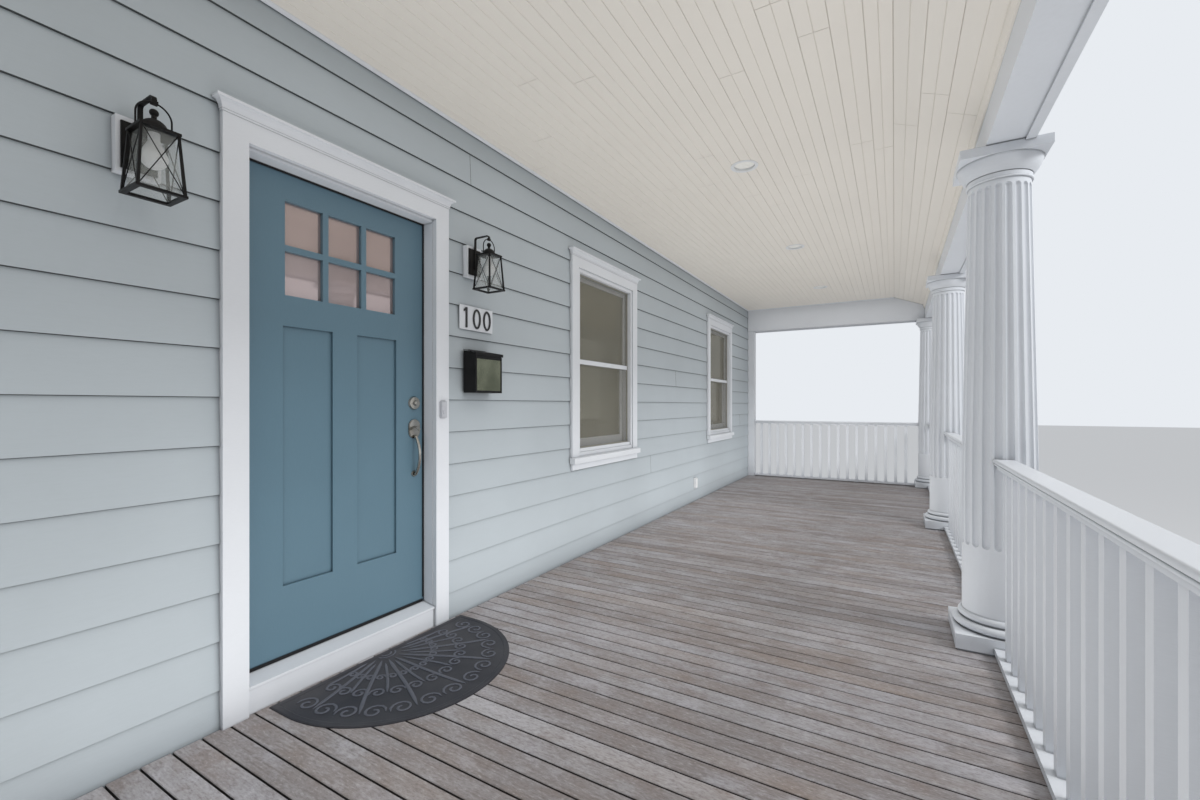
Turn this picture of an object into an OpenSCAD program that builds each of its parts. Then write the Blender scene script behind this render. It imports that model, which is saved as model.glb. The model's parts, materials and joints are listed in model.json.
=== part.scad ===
// Front porch of a timber house, with the house wall that it stands against.
// +X runs along the porch, +Y towards the house, +Z up. The origin is on the ground,
// under the middle of the porch. All sizes are in millimetres.

/* [Porch] */
// Height of the deck above the ground
deck_h = 760; // [700:10:850]
// Distance between the centres of two columns
column_pitch = 2765; // [2700:5:2900]
// Distance from the house wall to the centre line of the columns
porch_depth = 2574; // [2560:2:2600]
// Depth of the deck in front of the house wall
deck_depth = 2810; // [2790:5:2850]
// Deck edge beyond the centre line of the end columns
deck_edge = 230; // [210:5:260]
// Thickness of the deck boards
board_t = 25; // [20:1:32]

/* [Columns] */
// Height of a column above the deck, which is the underside of the beams
column_h = 2410; // [2360:5:2460]
// Radius of the shaft at its foot
shaft_r = 151; // [140:1:155]
// Radius of the shaft under the capital
neck_r = 125; // [120:1:130]
// Number of flutes round a shaft
flutes = 20; // [16:2:20]
// Side of the square plinth
plinth_w = 388; // [370:2:400]
// Side of the square abacus
abacus_w = 350; // [340:2:370]

/* [Roof and ceiling] */
// Height of the flat ceiling above the deck
ceiling_h = 2760; // [2740:10:2800]
// Height of the sloped strip of ceiling where it meets the beam, above the deck
ceiling_low_h = 2610; // [2600:5:2640]
// Slope of the roof in degrees
roof_pitch = 21.5; // [20:0.5:24]
// Depth of the rafters with their boarding
rafter_t = 150; // [120:10:180]
// Width of the beam on the columns
beam_w = 146; // [120:2:170]
// Thickness of the frieze board on the outer face of the beams
frieze_t = 38; // [25:1:45]

/* [Railing] */
// Height of the top rail above the deck
rail_h = 922; // [900:1:950]
// Width of the rails
rail_w = 89; // [80:1:100]
// Side of a square baluster
baluster_w = 38; // [32:1:42]
// Balusters in one bay of the front railing
bay_balusters = 17; // [15:1:19]
// Balusters in an end railing
end_balusters = 17; // [15:1:18]

/* [House wall] */
// Thickness of the house wall
wall_t = 130; // [126:1:134]
// Thickness of the foundation under the house wall
foundation_t = 181; // [180:1:240]
// Height of one course of the lap siding
course_h = 178; // [170:1:186]
// Overlap step at the lower edge of a course
lap_t = 9; // [6:1:9]
// Height of the lowest full course above the deck
first_course = 142; // [120:2:160]

/* [Front door] */
// Centre of the doorway along the porch
door_x = -1722; // [-1760:2:-1700]
// Width of the door leaf
door_w = 914; // [900:1:920]
// Height of the door leaf
door_h = 2032; // [2020:1:2040]
// Thickness of the door leaf
door_t = 44; // [40:1:45]
// Underside of the door leaf above the deck
door_bottom = 128; // [125:1:135]

/* [Windows] */
// Centre of the first window along the porch
window_1_x = 615; // [600:5:650]
// Centre of the second window along the porch
window_2_x = 3870; // [3800:5:3900]
// Width of the opening that the sashes fill
sash_open_w = 880; // [840:5:900]
// Underside of that opening above the deck
sash_open_low = 840; // [820:5:860]
// Top of that opening above the deck
sash_open_high = 2214; // [2200:2:2220]

/* [Mailbox] */
// Width of the mailbox
mailbox_w = 220; // [210:1:240]
// Centre of the mailbox along the porch
mailbox_x = -950; // [-960:2:-940]

/* [Hidden] */
columns = 5;
$fn = 48;
eps = 0.5;

// Places that follow from the sizes above
back_depth = lap_t + foundation_t;
wall_y = (deck_depth - back_depth) / 2;
column_y = wall_y - porch_depth;
column_x = [for (i = [0:columns - 1]) (i - (columns - 1) / 2) * column_pitch];
end_x = column_x[columns - 1];
deck_end_x = end_x + deck_edge;
wall_end_x = end_x + beam_w / 2 + frieze_t;
beam_low = deck_h + column_h;
beam_in = porch_depth - beam_w / 2;
beam_out = porch_depth + beam_w / 2;
frieze_out = beam_out + frieze_t;
ceiling_t = 12;
slope = tan(roof_pitch);
ceiling_bend = beam_in - (ceiling_h - ceiling_low_h) / slope;
rafter_rise = rafter_t / cos(roof_pitch);
covering_t = 16;
wall_low = deck_h - 60;
wall_top = roof_under(0) + rafter_rise + 150;
pilaster_w = 110;
pilaster_d = 100;

// The distance d from the house wall as a y coordinate
function yd(d) = wall_y - d;

// Underside of the roof frame at the distance d from the house wall
function roof_under(d) = deck_h + ceiling_low_h + ceiling_t + (beam_in - d) * slope;

// Top of the roof frame, which carries the covering
function roof_top(d) = roof_under(d) + rafter_rise;

// A block between two corners
module block(low, high) {
    translate(low) cube(high - low);
}

// A square slab round the Z axis between two heights
module square_slab(w, low, high) {
    block([-w / 2, -w / 2, low], [w / 2, w / 2, high]);
}

// A profile drawn in y and z, run along X
module along_x(from, to) {
    translate([from, 0, 0]) rotate([90, 0, 90]) linear_extrude(to - from) children();
}

// A profile drawn in x and z, run along Y
module along_y(from, to) {
    translate([0, to, 0]) rotate([90, 0, 0]) linear_extrude(to - from) children();
}

// The same thing at both ends of the porch
module both_ends() {
    children();
    mirror([1, 0, 0]) children();
}

// Foundation, piers and deck

pier_w = 400;
frame_h = 190;
frame_low = deck_h - board_t - frame_h;
rim_t = 38;
rim_inset = 30;

module foundation_wall() {
    color("darkgray")
    block([-wall_end_x, wall_y + lap_t, 0], [wall_end_x, wall_y + back_depth, wall_low]);
}

module porch_piers() {
    color("gray")
    for (x = column_x)
        let (px = sign(x) * min(abs(x), deck_end_x - rim_inset - pier_w / 2))
        block([px - pier_w / 2, yd(deck_depth - rim_inset), 0],
              [px + pier_w / 2, yd(deck_depth - rim_inset) + pier_w, frame_low]);
}

frame_end_x = deck_end_x - rim_inset;
frame_front_y = yd(deck_depth - rim_inset);
beam_x = [-frame_end_x + rim_t / 2, for (i = [1:columns - 2]) column_x[i], frame_end_x - rim_t / 2];
joist_rows = 4;

// Front rim, ledger against the house, and a beam under each column
module deck_frame() {
    color("tan")
    union() {
        for (y = [frame_front_y, wall_y + lap_t - rim_t])
            block([-frame_end_x, y, frame_low], [frame_end_x, y + rim_t, frame_low + frame_h]);
        for (x = beam_x)
            block([x - rim_t / 2, frame_front_y, frame_low],
                  [x + rim_t / 2, wall_y + lap_t, frame_low + frame_h]);
    }
}

// Rows of joists that run between the beams
module deck_joists() {
    step = (wall_y + lap_t - rim_t - frame_front_y) / (joist_rows + 1);
    color("burlywood")
    for (i = [0:columns - 2])
        for (row = [1:joist_rows])
            block([beam_x[i] + rim_t / 2, frame_front_y + row * step, frame_low],
                  [beam_x[i + 1] - rim_t / 2, frame_front_y + row * step + rim_t,
                   frame_low + frame_h]);
}

module deck_floor() {
    color("rosybrown")
    block([-deck_end_x, yd(deck_depth), deck_h - board_t], [deck_end_x, wall_y, deck_h]);
}

// Skirt boards close the space under the deck between the piers
skirt_gap = 30;
skirt_t = 20;

module deck_skirt() {
    x1 = deck_end_x - rim_inset;
    y0 = yd(deck_depth - rim_inset);
    fascia_low = frame_low - 20;
    color("white")
    difference() {
        union() {
            block([-x1 - skirt_t, y0 - skirt_t, fascia_low],
                  [x1 + skirt_t, wall_y, deck_h - board_t]);
            block([-x1, y0, skirt_gap], [x1, wall_y, fascia_low]);
        }
        block([-x1, y0, frame_low], [x1, wall_y + eps, deck_h]);
        block([-x1 + skirt_t, y0 + skirt_t, -eps], [x1 - skirt_t, wall_y + eps, deck_h]);
        for (x = column_x)
            let (px = sign(x) * min(abs(x), x1 - pier_w / 2))
            block([px - pier_w / 2, y0 - eps, 0],
                  [px + pier_w / 2, y0 + pier_w, frame_low]);
    }
}

// House wall with lap siding

siding_courses = 16;
function course_z(k) = deck_h + first_course + (k - 1) * course_h;

// Section of the wall: each course stands out at its lower edge
module wall_section(low, high) {
    difference() {
        polygon([
            [wall_y + wall_t, low], [wall_y + wall_t, high], [wall_y + lap_t, high],
            for (k = [siding_courses - 1:-1:0])
                each [[wall_y + lap_t, course_z(k + 1)], [wall_y, course_z(k)]],
            [wall_y + lap_t, course_z(0)], [wall_y + lap_t, min(low, course_z(0) - 1)]]);
        translate([wall_y - 1, 0]) square([wall_t + 2, low]);
        translate([wall_y - 1, 0]) square([lap_t + 1, deck_h - board_t]);
    }
}

rough_w = door_w / 2 + 5 + 30;
casing_w = 88;
casing_t = 18;
casing_inner = door_w / 2 - 3.5;
casing_outer = casing_inner + casing_w;
door_top = deck_h + door_bottom + door_h;
head_low = door_top + 8;
head_high = head_low + 82;
crown_h = 48;
crown_out = 27;
cap_high = head_high + crown_h;
rough_top = door_top + 35;

module wall_near() {
    color("lightsteelblue")
    difference() {
        along_x(-wall_end_x, door_x - rough_w) wall_section(wall_low, wall_top);
        casing_pocket();
        lantern_pocket(lantern_x[0]);
        pilaster_pocket();
    }
}

module wall_over_door() {
    color("lightsteelblue")
    difference() {
        along_x(door_x - rough_w, door_x + rough_w) wall_section(rough_top, wall_top);
        casing_pocket();
    }
}

module wall_far() {
    color("lightsteelblue")
    difference() {
        along_x(door_x + rough_w, wall_end_x) wall_section(wall_low, wall_top);
        casing_pocket();
        lantern_pocket(lantern_x[1]);
        pilaster_pocket();
        for (x = [window_1_x, window_2_x])
            window_pocket(x);
        outlet_pocket();
    }
}

// Where the door casing lies against the wall
module casing_pocket() {
    block([door_x - casing_outer, wall_y - 50, wall_low - 1],
          [door_x + casing_outer, wall_y + lap_t, cap_high]);
}

module pilaster_pocket() {
    both_ends()
    block([end_x - pilaster_w / 2, wall_y - 50, deck_h - 1],
          [end_x + 200, wall_y + lap_t, beam_low]);
}

module end_pilasters() {
    color("white")
    both_ends()
    block([end_x - pilaster_w / 2, wall_y - pilaster_d, deck_h],
          [end_x + pilaster_w / 2, wall_y + lap_t, beam_low]);
}

// Columns

plinth_h = 80;
plinth_foot_h = 10;
plinth_foot_in = 10;
base_h = 159;
shaft_top = 2262;
flute_low = 502;
flute_high = 2225;
flute_r = 17.5;
flute_out = 4;

// The shaft is straight up to a third of its height and tapers from there
entasis_z = 900;
function shaft_radius(z) = z <= entasis_z ? shaft_r
    : shaft_r - (shaft_r - neck_r) * (z - entasis_z) / (shaft_top - entasis_z);
function flute_radius(z) = flute_r * shaft_radius(z) / shaft_r;

// Half section of the base: a large torus, a narrow channel and a smaller ring round the shaft
module base_section() {
    torus_r = 18.5;
    torus_out = plinth_w / 2 - 4;
    channel_h = 4;
    ring_r = 16;
    torus_z = plinth_h + channel_h + torus_r;
    ring_z = torus_z + torus_r + channel_h + ring_r;
    difference() {
        union() {
            translate([0, plinth_h]) square([torus_out - torus_r, torus_z - plinth_h]);
            translate([0, torus_z - torus_r]) square([torus_out - torus_r, 2 * torus_r]);
            translate([torus_out - torus_r, torus_z]) circle(torus_r);
            translate([0, torus_z]) square([shaft_r + 4, base_h - torus_z]);
            translate([shaft_r + 1, ring_z]) circle(ring_r);
        }
        translate([-100, 0]) square([100, 400]);
    }
}

module column_bases() {
    color("whitesmoke")
    for (x = column_x)
        translate([x, column_y, deck_h]) {
            square_slab(plinth_w - 2 * plinth_foot_in, 0, plinth_foot_h);
            square_slab(plinth_w, plinth_foot_h, plinth_h);
            rotate_extrude() base_section();
        }
}

// One flute: a rounded groove that follows the shaft's outline
module flute() {
    for (part = [[flute_low, entasis_z], [entasis_z, flute_high]])
        let (r1 = flute_radius(part[0]), r2 = flute_radius(part[1]),
             run = shaft_radius(part[1]) - shaft_radius(part[0]))
        translate([shaft_radius(part[0]) + flute_out, 0, part[0]])
        rotate([0, atan(run / (part[1] - part[0])), 0])
        cylinder(h = norm([run, part[1] - part[0]]), r1 = r1, r2 = r2);
    for (z = [flute_low, entasis_z, flute_high])
        translate([shaft_radius(z) + flute_out, 0, z])
        sphere(flute_radius(z));
}

module column_shaft(i) {
    color("white")
    translate([column_x[i], column_y, deck_h])
    difference() {
        rotate_extrude()
        polygon([[0, base_h], [shaft_r, base_h], [shaft_r, entasis_z],
                 [neck_r, shaft_top], [0, shaft_top]]);
        for (k = [0:flutes - 1])
            rotate([0, 0, (k + 0.5) * 360 / flutes]) flute();
    }
}

abacus_h = 46;
abacus_top_in = 8;
abacus_top_h = 4;
echinus_h = 65;
echinus_high = column_h - abacus_h - 6;
echinus_low = echinus_high - echinus_h;
echinus_in = neck_r + 9;
echinus_out = abacus_w / 2 - 4;

// The echinus swells slightly between its lower and upper edges
function echinus(s) = [echinus_in + (echinus_out - echinus_in) * s + 4 * sin(180 * s),
                       echinus_low + echinus_h * s - 3 * sin(180 * s)];

// Half section of the capital: astragal, neck band, reveal, echinus and fillet
module capital_section() {
    astragal_r = 5;
    band_high = echinus_low - 4;
    difference() {
        union() {
            translate([neck_r + 4, shaft_top + astragal_r]) circle(astragal_r);
            translate([0, shaft_top]) square([neck_r + 4, 2 * astragal_r]);
            translate([0, shaft_top + 2 * astragal_r])
            square([neck_r + 6, band_high - shaft_top - 2 * astragal_r]);
            translate([0, band_high]) square([neck_r + 3, echinus_low - band_high]);
            polygon([[0, echinus_low], for (s = [0:0.2:1]) echinus(s), [0, echinus_high]]);
            translate([0, echinus_high])
            square([echinus_out + 2, column_h - abacus_h - echinus_high]);
        }
        translate([-200, 0]) square([200, column_h + 10]);
    }
}

module column_capitals() {
    color("whitesmoke")
    for (x = column_x)
        translate([x, column_y, deck_h]) {
            rotate_extrude() capital_section();
            square_slab(abacus_w, column_h - abacus_h, column_h - abacus_top_h);
            square_slab(abacus_w - 2 * abacus_top_in, column_h - abacus_top_h, column_h);
        }
}

// Beams, frieze and ceiling

module front_beam() {
    color("white")
    along_x(-end_x - beam_w / 2, end_x + beam_w / 2)
    polygon([[yd(beam_in), beam_low], [yd(beam_out), beam_low],
             [yd(beam_out), roof_under(beam_out)], [yd(beam_in), roof_under(beam_in)]]);
}

module end_beams() {
    color("white")
    both_ends()
    along_x(end_x - beam_w / 2, end_x + beam_w / 2)
    polygon([[wall_y, beam_low], [yd(beam_in), beam_low],
             [yd(beam_in), roof_under(beam_in)], [yd(ceiling_bend), roof_under(ceiling_bend)],
             [wall_y, roof_under(ceiling_bend)]]);
}

frieze_drop = 12;
frieze_high = roof_top(beam_out);

// Frieze boards on the outer faces of the beams, let in round the capitals
module frieze_room() {
    for (x = column_x)
        block([x - abacus_w / 2 - eps, column_y - abacus_w / 2 - eps, 0],
              [x + abacus_w / 2 + eps, column_y + abacus_w / 2 + eps, beam_low]);
}

module front_frieze() {
    x1 = end_x + beam_w / 2 + frieze_t;
    color("white")
    difference() {
        along_x(-x1, x1)
        polygon([[yd(frieze_out), beam_low - frieze_drop], [yd(beam_out), beam_low - frieze_drop],
                 [yd(beam_out), frieze_high], [yd(frieze_out), roof_top(frieze_out)]]);
        frieze_room();
    }
}

module end_friezes() {
    x1 = end_x + beam_w / 2;
    color("white")
    both_ends()
    difference() {
        block([x1, yd(beam_out), beam_low - frieze_drop], [x1 + frieze_t, wall_y, frieze_high]);
        frieze_room();
        pilaster_pocket();
    }
}

light_x = [-3780, -1780, 220, 2210, 4220];
light_d = 1265;
light_hole_r = 76;

module ceiling_flat() {
    color("white")
    difference() {
        block([-end_x + beam_w / 2, yd(ceiling_bend), deck_h + ceiling_h],
              [end_x - beam_w / 2, wall_y, deck_h + ceiling_h + ceiling_t]);
        for (x = light_x)
            translate([x, yd(light_d), deck_h + ceiling_h - 1])
            cylinder(h = ceiling_t + 2, r = light_hole_r);
    }
}

module ceiling_slope() {
    z0 = deck_h + ceiling_low_h;
    z1 = deck_h + ceiling_h;
    color("white")
    along_x(-end_x + beam_w / 2, end_x - beam_w / 2)
    polygon([[yd(beam_in), z0], [yd(beam_in), z0 + ceiling_t],
             [yd(ceiling_bend), z1 + ceiling_t], [yd(ceiling_bend), z1]]);
}

// A quarter round under the ceiling
module bead_section(size) {
    intersection() {
        translate([-size, -size]) square(size);
        circle(size);
    }
}

module crown_trim() {
    size = 14;
    x1 = end_x - beam_w / 2;
    color("white")
    union() {
        along_x(-x1, x1)
        translate([wall_y, deck_h + ceiling_h]) bead_section(size);
        along_x(-x1, x1)
        translate([yd(beam_in), deck_h + ceiling_low_h])
        polygon([[0, 0], [20, 20 * slope], [20, -14], [8, -44], [0, -44]]);
        both_ends()
        along_y(yd(ceiling_bend), wall_y)
        translate([x1, deck_h + ceiling_h]) bead_section(size);
    }
}

// Roof

module roof_frame() {
    color("tan")
    along_x(-end_x - beam_w / 2, end_x + beam_w / 2)
    polygon([[yd(0), roof_under(0)], [yd(ceiling_bend), roof_under(ceiling_bend)],
             [yd(beam_in), roof_under(beam_in)], [yd(beam_out), roof_under(beam_out)],
             [yd(beam_out), roof_top(beam_out)], [yd(0), roof_top(0)]]);
}

// The closed triangle at each end of the roof, with the wall's lap siding on its outer face
module roof_ends() {
    x0 = end_x - beam_w / 2;
    x1 = end_x + beam_w / 2;
    low = roof_under(ceiling_bend);
    high = roof_under(0);
    first = floor((low - course_z(0)) / course_h);
    last = floor((high - course_z(0)) / course_h);
    color("lightsteelblue")
    both_ends()
    intersection() {
        along_x(x0, x1 + lap_t)
        polygon([[wall_y, low], [yd(ceiling_bend), low], [wall_y, high]]);
        along_y(yd(ceiling_bend), wall_y)
        polygon([[x0, course_z(first)],
                 for (k = [first:last]) each [[x1 + lap_t, course_z(k)], [x1, course_z(k + 1)]],
                 [x0, course_z(last + 1)]]);
    }
}

covering_out = frieze_out + 55;
eave_out = frieze_out + 40;

module roof_covering() {
    color("dimgray")
    along_x(-end_x - beam_w / 2 - frieze_t - 40, end_x + beam_w / 2 + frieze_t + 40)
    polygon([[yd(0), roof_top(0)], [yd(beam_out), roof_top(beam_out)],
             [yd(frieze_out), roof_top(frieze_out)], [yd(eave_out), roof_top(eave_out)],
             [yd(covering_out), roof_top(covering_out)],
             [yd(covering_out), roof_top(covering_out) + covering_t],
             [yd(0), roof_top(0) + covering_t]]);
}

// White boards under the roof covering: one along the eave, one up each end
rake_h = 140;

module rake_boards() {
    x1 = end_x + beam_w / 2;
    both_ends()
    along_x(x1, x1 + frieze_t)
    polygon([[wall_y, roof_top(0) - rake_h], [yd(beam_out - rake_h / slope), frieze_high],
             [yd(beam_out), frieze_high], [wall_y, roof_top(0)]]);
}

module eave_trim() {
    color("white") rake_boards();
    color("white")
    along_x(-end_x - beam_w / 2 - frieze_t - 30, end_x + beam_w / 2 + frieze_t + 30)
    polygon([[yd(frieze_out), frieze_high - 70], [yd(frieze_out + 12), frieze_high - 70],
             [yd(eave_out), roof_top(eave_out) - 15], [yd(eave_out), roof_top(eave_out)],
             [yd(frieze_out), roof_top(frieze_out)]]);
}

// Railings

cap_t = 18;
rail_bead_w = 80;
rail_bead_t = 12;
subrail_w = 56;
subrail_t = 17;
top_rail_t = cap_t + rail_bead_t + subrail_t;
foot_low = 16;
bottom_rail_t = 26;
shaft_gap = 0.5;

// A bar with round edges, drawn round the point (0, z)
module round_bar(w, t, z) {
    translate([-w / 2 + t / 2, z - t / 2]) square([w - t, t]);
    for (side = [-1, 1])
        translate([side * (w - t) / 2, z]) circle(t / 2, $fn = 24);
}

// Section of the top rail: a flat cap with round edges, a bead under it, and a narrower rail
module top_rail_section() {
    union() {
        round_bar(rail_w, cap_t, rail_h - cap_t / 2);
        round_bar(rail_bead_w, rail_bead_t, rail_h - cap_t - rail_bead_t / 2);
        translate([-subrail_w / 2, rail_h - top_rail_t]) square([subrail_w, subrail_t + 1]);
    }
}

module balusters(from, to, count) {
    gap = (to - from - count * baluster_w) / (count + 1);
    for (i = [0:count - 1])
        translate([from + gap + i * (gap + baluster_w), -baluster_w / 2, foot_low + bottom_rail_t])
        cube([baluster_w, baluster_w, rail_h - top_rail_t - foot_low - bottom_rail_t]);
}

// A railing along +X between two obstacles, with feet under its lower rail
module railing(from, to, top_from, top_to, count) {
    union() {
        block([from, -rail_w / 2, foot_low], [to, rail_w / 2, foot_low + bottom_rail_t]);
        for (share = [1 / 3, 2 / 3])
            let (x = from + (to - from) * share)
            block([x - 25, -25, 0], [x + 25, 25, foot_low]);
        along_x(top_from, top_to) top_rail_section();
        balusters(from, to, count);
    }
}

// Room for the column shafts at both ends of a railing
module shaft_room(x) {
    translate([x, 0, rail_h - 200])
    cylinder(h = 300, r = shaft_radius(rail_h - top_rail_t) + shaft_gap, $fn = 96);
}

module railing_bay(i) {
    color("white")
    translate([0, column_y, deck_h])
    difference() {
        railing(column_x[i] + plinth_w / 2, column_x[i + 1] - plinth_w / 2,
                column_x[i] + 120, column_x[i + 1] - 120, bay_balusters);
        shaft_room(column_x[i]);
        shaft_room(column_x[i + 1]);
    }
}

module railing_end(side) {
    color("white")
    translate([side * end_x, column_y, deck_h])
    rotate([0, 0, 90])
    difference() {
        railing(plinth_w / 2, porch_depth - pilaster_d, 120, porch_depth - pilaster_d,
                end_balusters);
        shaft_room(0);
    }
}

// Door frame, casing, threshold and leaf

leaf_out_y = wall_y + 80;
leaf_in_y = leaf_out_y + door_t;
leaf_gap = 5;
stop_w = 11;
sill_top = deck_h + door_bottom - leaf_gap;

module door_frame() {
    half = door_w / 2 + leaf_gap;
    color("white")
    difference() {
        block([door_x - rough_w, wall_y + lap_t, deck_h],
              [door_x + rough_w, wall_y + wall_t, rough_top]);
        for (z = hinge_z)
            translate([pin_x, pin_y, z - hinge_h / 2 - 1]) cylinder(h = hinge_h + 2, r = pin_r + 1);
        block([door_x - half, leaf_out_y - leaf_gap, deck_h - 1],
              [door_x + half, wall_y + wall_t + 1, door_top + leaf_gap]);
        block([door_x - half + stop_w, wall_y, deck_h - 1],
              [door_x + half - stop_w, wall_y + wall_t + 1, door_top + leaf_gap - stop_w]);
    }
}

// Outline of a crown moulding, as distances out from the board and heights: a fillet, a cove, a top edge
cove_points = [for (a = [0:15:90]) [5 + (crown_out - 7) * (1 - cos(a)), 8 + (crown_h - 18) * sin(a)]];
crown_edge = [[3, 0], [3, 8], each cove_points, [crown_out, crown_h - 10], [crown_out, crown_h]];

// A crown moulding round the head of a casing, returned to the wall at both ends
module crown(x, half, low) {
    front = wall_y - casing_t;
    last = len(crown_edge) - 1;
    intersection() {
        along_x(x - half - crown_out, x + half + crown_out)
        polygon([for (p = crown_edge) [front - p[0], low + p[1]],
                 [wall_y, low + crown_h], [wall_y, low]]);
        along_y(front - crown_out, wall_y)
        polygon([for (p = crown_edge) [x + half + p[0], low + p[1]],
                 for (i = [last:-1:0]) [x - half - crown_edge[i][0], low + crown_edge[i][1]]]);
    }
}

module door_casing() {
    y0 = wall_y - casing_t;
    y1 = wall_y + lap_t;
    color("white")
    union() {
        for (side = [-1, 1])
            block([door_x + min(side * casing_inner, side * casing_outer), y0, deck_h],
                  [door_x + max(side * casing_inner, side * casing_outer), y1, head_high]);
        block([door_x - casing_outer, y0, head_low], [door_x + casing_outer, y1, cap_high]);
        crown(door_x, casing_outer, head_high);
    }
}

module door_threshold() {
    half = door_w / 2 + leaf_gap - stop_w;
    color("white")
    along_x(door_x - half, door_x + half)
    polygon([[wall_y, deck_h], [wall_y, deck_h + 98], [wall_y - 8, deck_h + 98],
             [wall_y - 8, deck_h + 108], [leaf_out_y, sill_top],
             [wall_y + wall_t, sill_top], [wall_y + wall_t, deck_h]]);
}

// Three butt hinges: a barrel round the pin and a leaf let into the frame
pin_x = door_x - door_w / 2 - 3;
pin_y = leaf_in_y + 6;
pin_r = 5.5;
hinge_h = 100;
hinge_z = [for (z = [220, 1010, 1800]) deck_h + door_bottom + z];
hinge_leaf_t = 2;
hinge_leaf_w = 38;

module door_hinges() {
    jamb_x = door_x - door_w / 2 - leaf_gap;
    color("silver")
    for (z = hinge_z)
        union() {
            translate([pin_x, pin_y, z - hinge_h / 2]) cylinder(h = hinge_h, r = pin_r);
            block([jamb_x, leaf_in_y - hinge_leaf_w, z - hinge_h / 2],
                  [jamb_x + hinge_leaf_t, pin_y, z + hinge_h / 2]);
        }
}

// Heights in the door leaf above the deck, and half widths from its middle
panel_low = 425;
panel_high = 1511;
lite_low = 1640;
lite_high = 2034;
panel_in = 61;
panel_out = 279;
lite_half = 271;
panel_depth = 11;

module front_door() {
    low = deck_h + door_bottom;
    bar = 26;
    lite_w = (2 * lite_half - 2 * bar) / 3;
    lite_h = (lite_high - lite_low - bar) / 2;
    color("steelblue")
    difference() {
        block([door_x - door_w / 2, leaf_out_y, low], [door_x + door_w / 2, leaf_in_y, low + door_h]);
        for (side = [-1, 1])
            for (y = [leaf_out_y - 1, leaf_in_y - panel_depth])
                block([door_x + min(side * panel_in, side * panel_out), y, deck_h + panel_low],
                      [door_x + max(side * panel_in, side * panel_out),
                       y + panel_depth + 1, deck_h + panel_high]);
        for (i = [0:2])
            for (j = [0:1])
                translate([door_x - lite_half + i * (lite_w + bar), leaf_out_y - 1,
                           deck_h + lite_low + j * (lite_h + bar)])
                cube([lite_w, door_t + 2, lite_h]);
        block([door_x - lite_half - 8, leaf_out_y + door_t / 2 - 3, deck_h + lite_low - 8],
              [door_x + lite_half + 8, leaf_out_y + door_t / 2 + 3, deck_h + lite_high + 8]);
    }
}

module door_glass() {
    color("lightblue", 0.4)
    block([door_x - lite_half - 8, leaf_out_y + door_t / 2 - 3, deck_h + lite_low - 8],
          [door_x + lite_half + 8, leaf_out_y + door_t / 2 + 3, deck_h + lite_high + 8]);
}

// Lock and handle: heights above the deck
lock_x = door_x + 389;
bolt_z = 1190;
latch_z = 1054;
latch_plate_r = 36;
latch_plate_h = 100;
grip_high = 1012;
grip_low = 817;
grip_r = 8;
grip_bulge = 30;
grip_stand = 16;
plate_t = 7;
inner_knob_r = 24;

// A round plate with a bevelled edge, lying against the leaf's outer face at the height z
module outer_plate(z, r, t) {
    translate([lock_x, leaf_out_y, deck_h + z]) rotate([90, 0, 0])
    cylinder(h = t, r1 = r, r2 = r - t / 2);
}

module inner_plate(z, r, t) {
    translate([lock_x, leaf_in_y, deck_h + z]) rotate([-90, 0, 0])
    cylinder(h = t, r1 = r, r2 = r - t / 2);
}

module door_deadbolt() {
    color("silver") {
        union() {
            outer_plate(bolt_z, 36, 10);
            outer_plate(bolt_z, 19, 20);
        }
        union() {
            inner_plate(bolt_z, 31, 8);
            translate([lock_x - 4, leaf_in_y, deck_h + bolt_z - 17]) cube([8, 26, 34]);
        }
    }
}

// The grip bows away from the leaf between its two ends
module grip_bow() {
    half = (grip_high - grip_low) / 2;
    bow_r = (half * half + grip_bulge * grip_bulge) / (2 * grip_bulge);
    bow_angle = 2 * asin(half / bow_r);
    bow_y = leaf_out_y - grip_stand - grip_bulge + bow_r;
    union() {
        translate([lock_x, bow_y, deck_h + grip_low + half]) rotate([0, 90, 0])
        rotate([0, 0, 270 - bow_angle / 2]) rotate_extrude(angle = bow_angle)
        translate([bow_r, 0]) circle(grip_r);
        for (z = [grip_low, grip_high]) {
            translate([lock_x, leaf_out_y - grip_stand, deck_h + z]) sphere(grip_stand - plate_t);
            translate([lock_x, leaf_out_y - plate_t, deck_h + z]) rotate([90, 0, 0])
            cylinder(h = grip_stand - plate_t, r = grip_r - 1);
        }
    }
}

module door_grip() {
    color("silver") grip_bow();
}

// A tall plate with round ends on the leaf's outer face, r out to its sides and t thick
module latch_plate(r, t) {
    straight = latch_plate_h / 2 - latch_plate_r;
    translate([lock_x, leaf_out_y, deck_h + latch_z]) rotate([90, 0, 0])
    linear_extrude(t)
    union() {
        square([2 * r, 2 * straight], center = true);
        for (side = [-1, 1])
            translate([0, side * straight]) circle(r);
    }
}

// The thumb piece: a curved tongue that leans down and widens to a round pad
module thumb_piece() {
    reach = 30;
    rise = 12;
    bend_r = (reach * reach + rise * rise) / (2 * rise);
    sweep = 2 * atan(rise / reach);
    tongue_w = 15;
    translate([lock_x - tongue_w / 2, leaf_out_y - plate_t + 1, deck_h + latch_z + 12 - bend_r])
    rotate([90, 0, 90]) rotate([0, 0, 90])
    linear_extrude(tongue_w)
    difference() {
        intersection() {
            circle(bend_r + 2, $fn = 96);
            square([bend_r + 2, reach]);
        }
        circle(bend_r - 2, $fn = 96);
    }
    translate([lock_x, leaf_out_y - plate_t - reach + 4, deck_h + latch_z + 12 - rise])
    rotate([sweep, 0, 0])
    cylinder(h = 4, r = 12);
}

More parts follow.
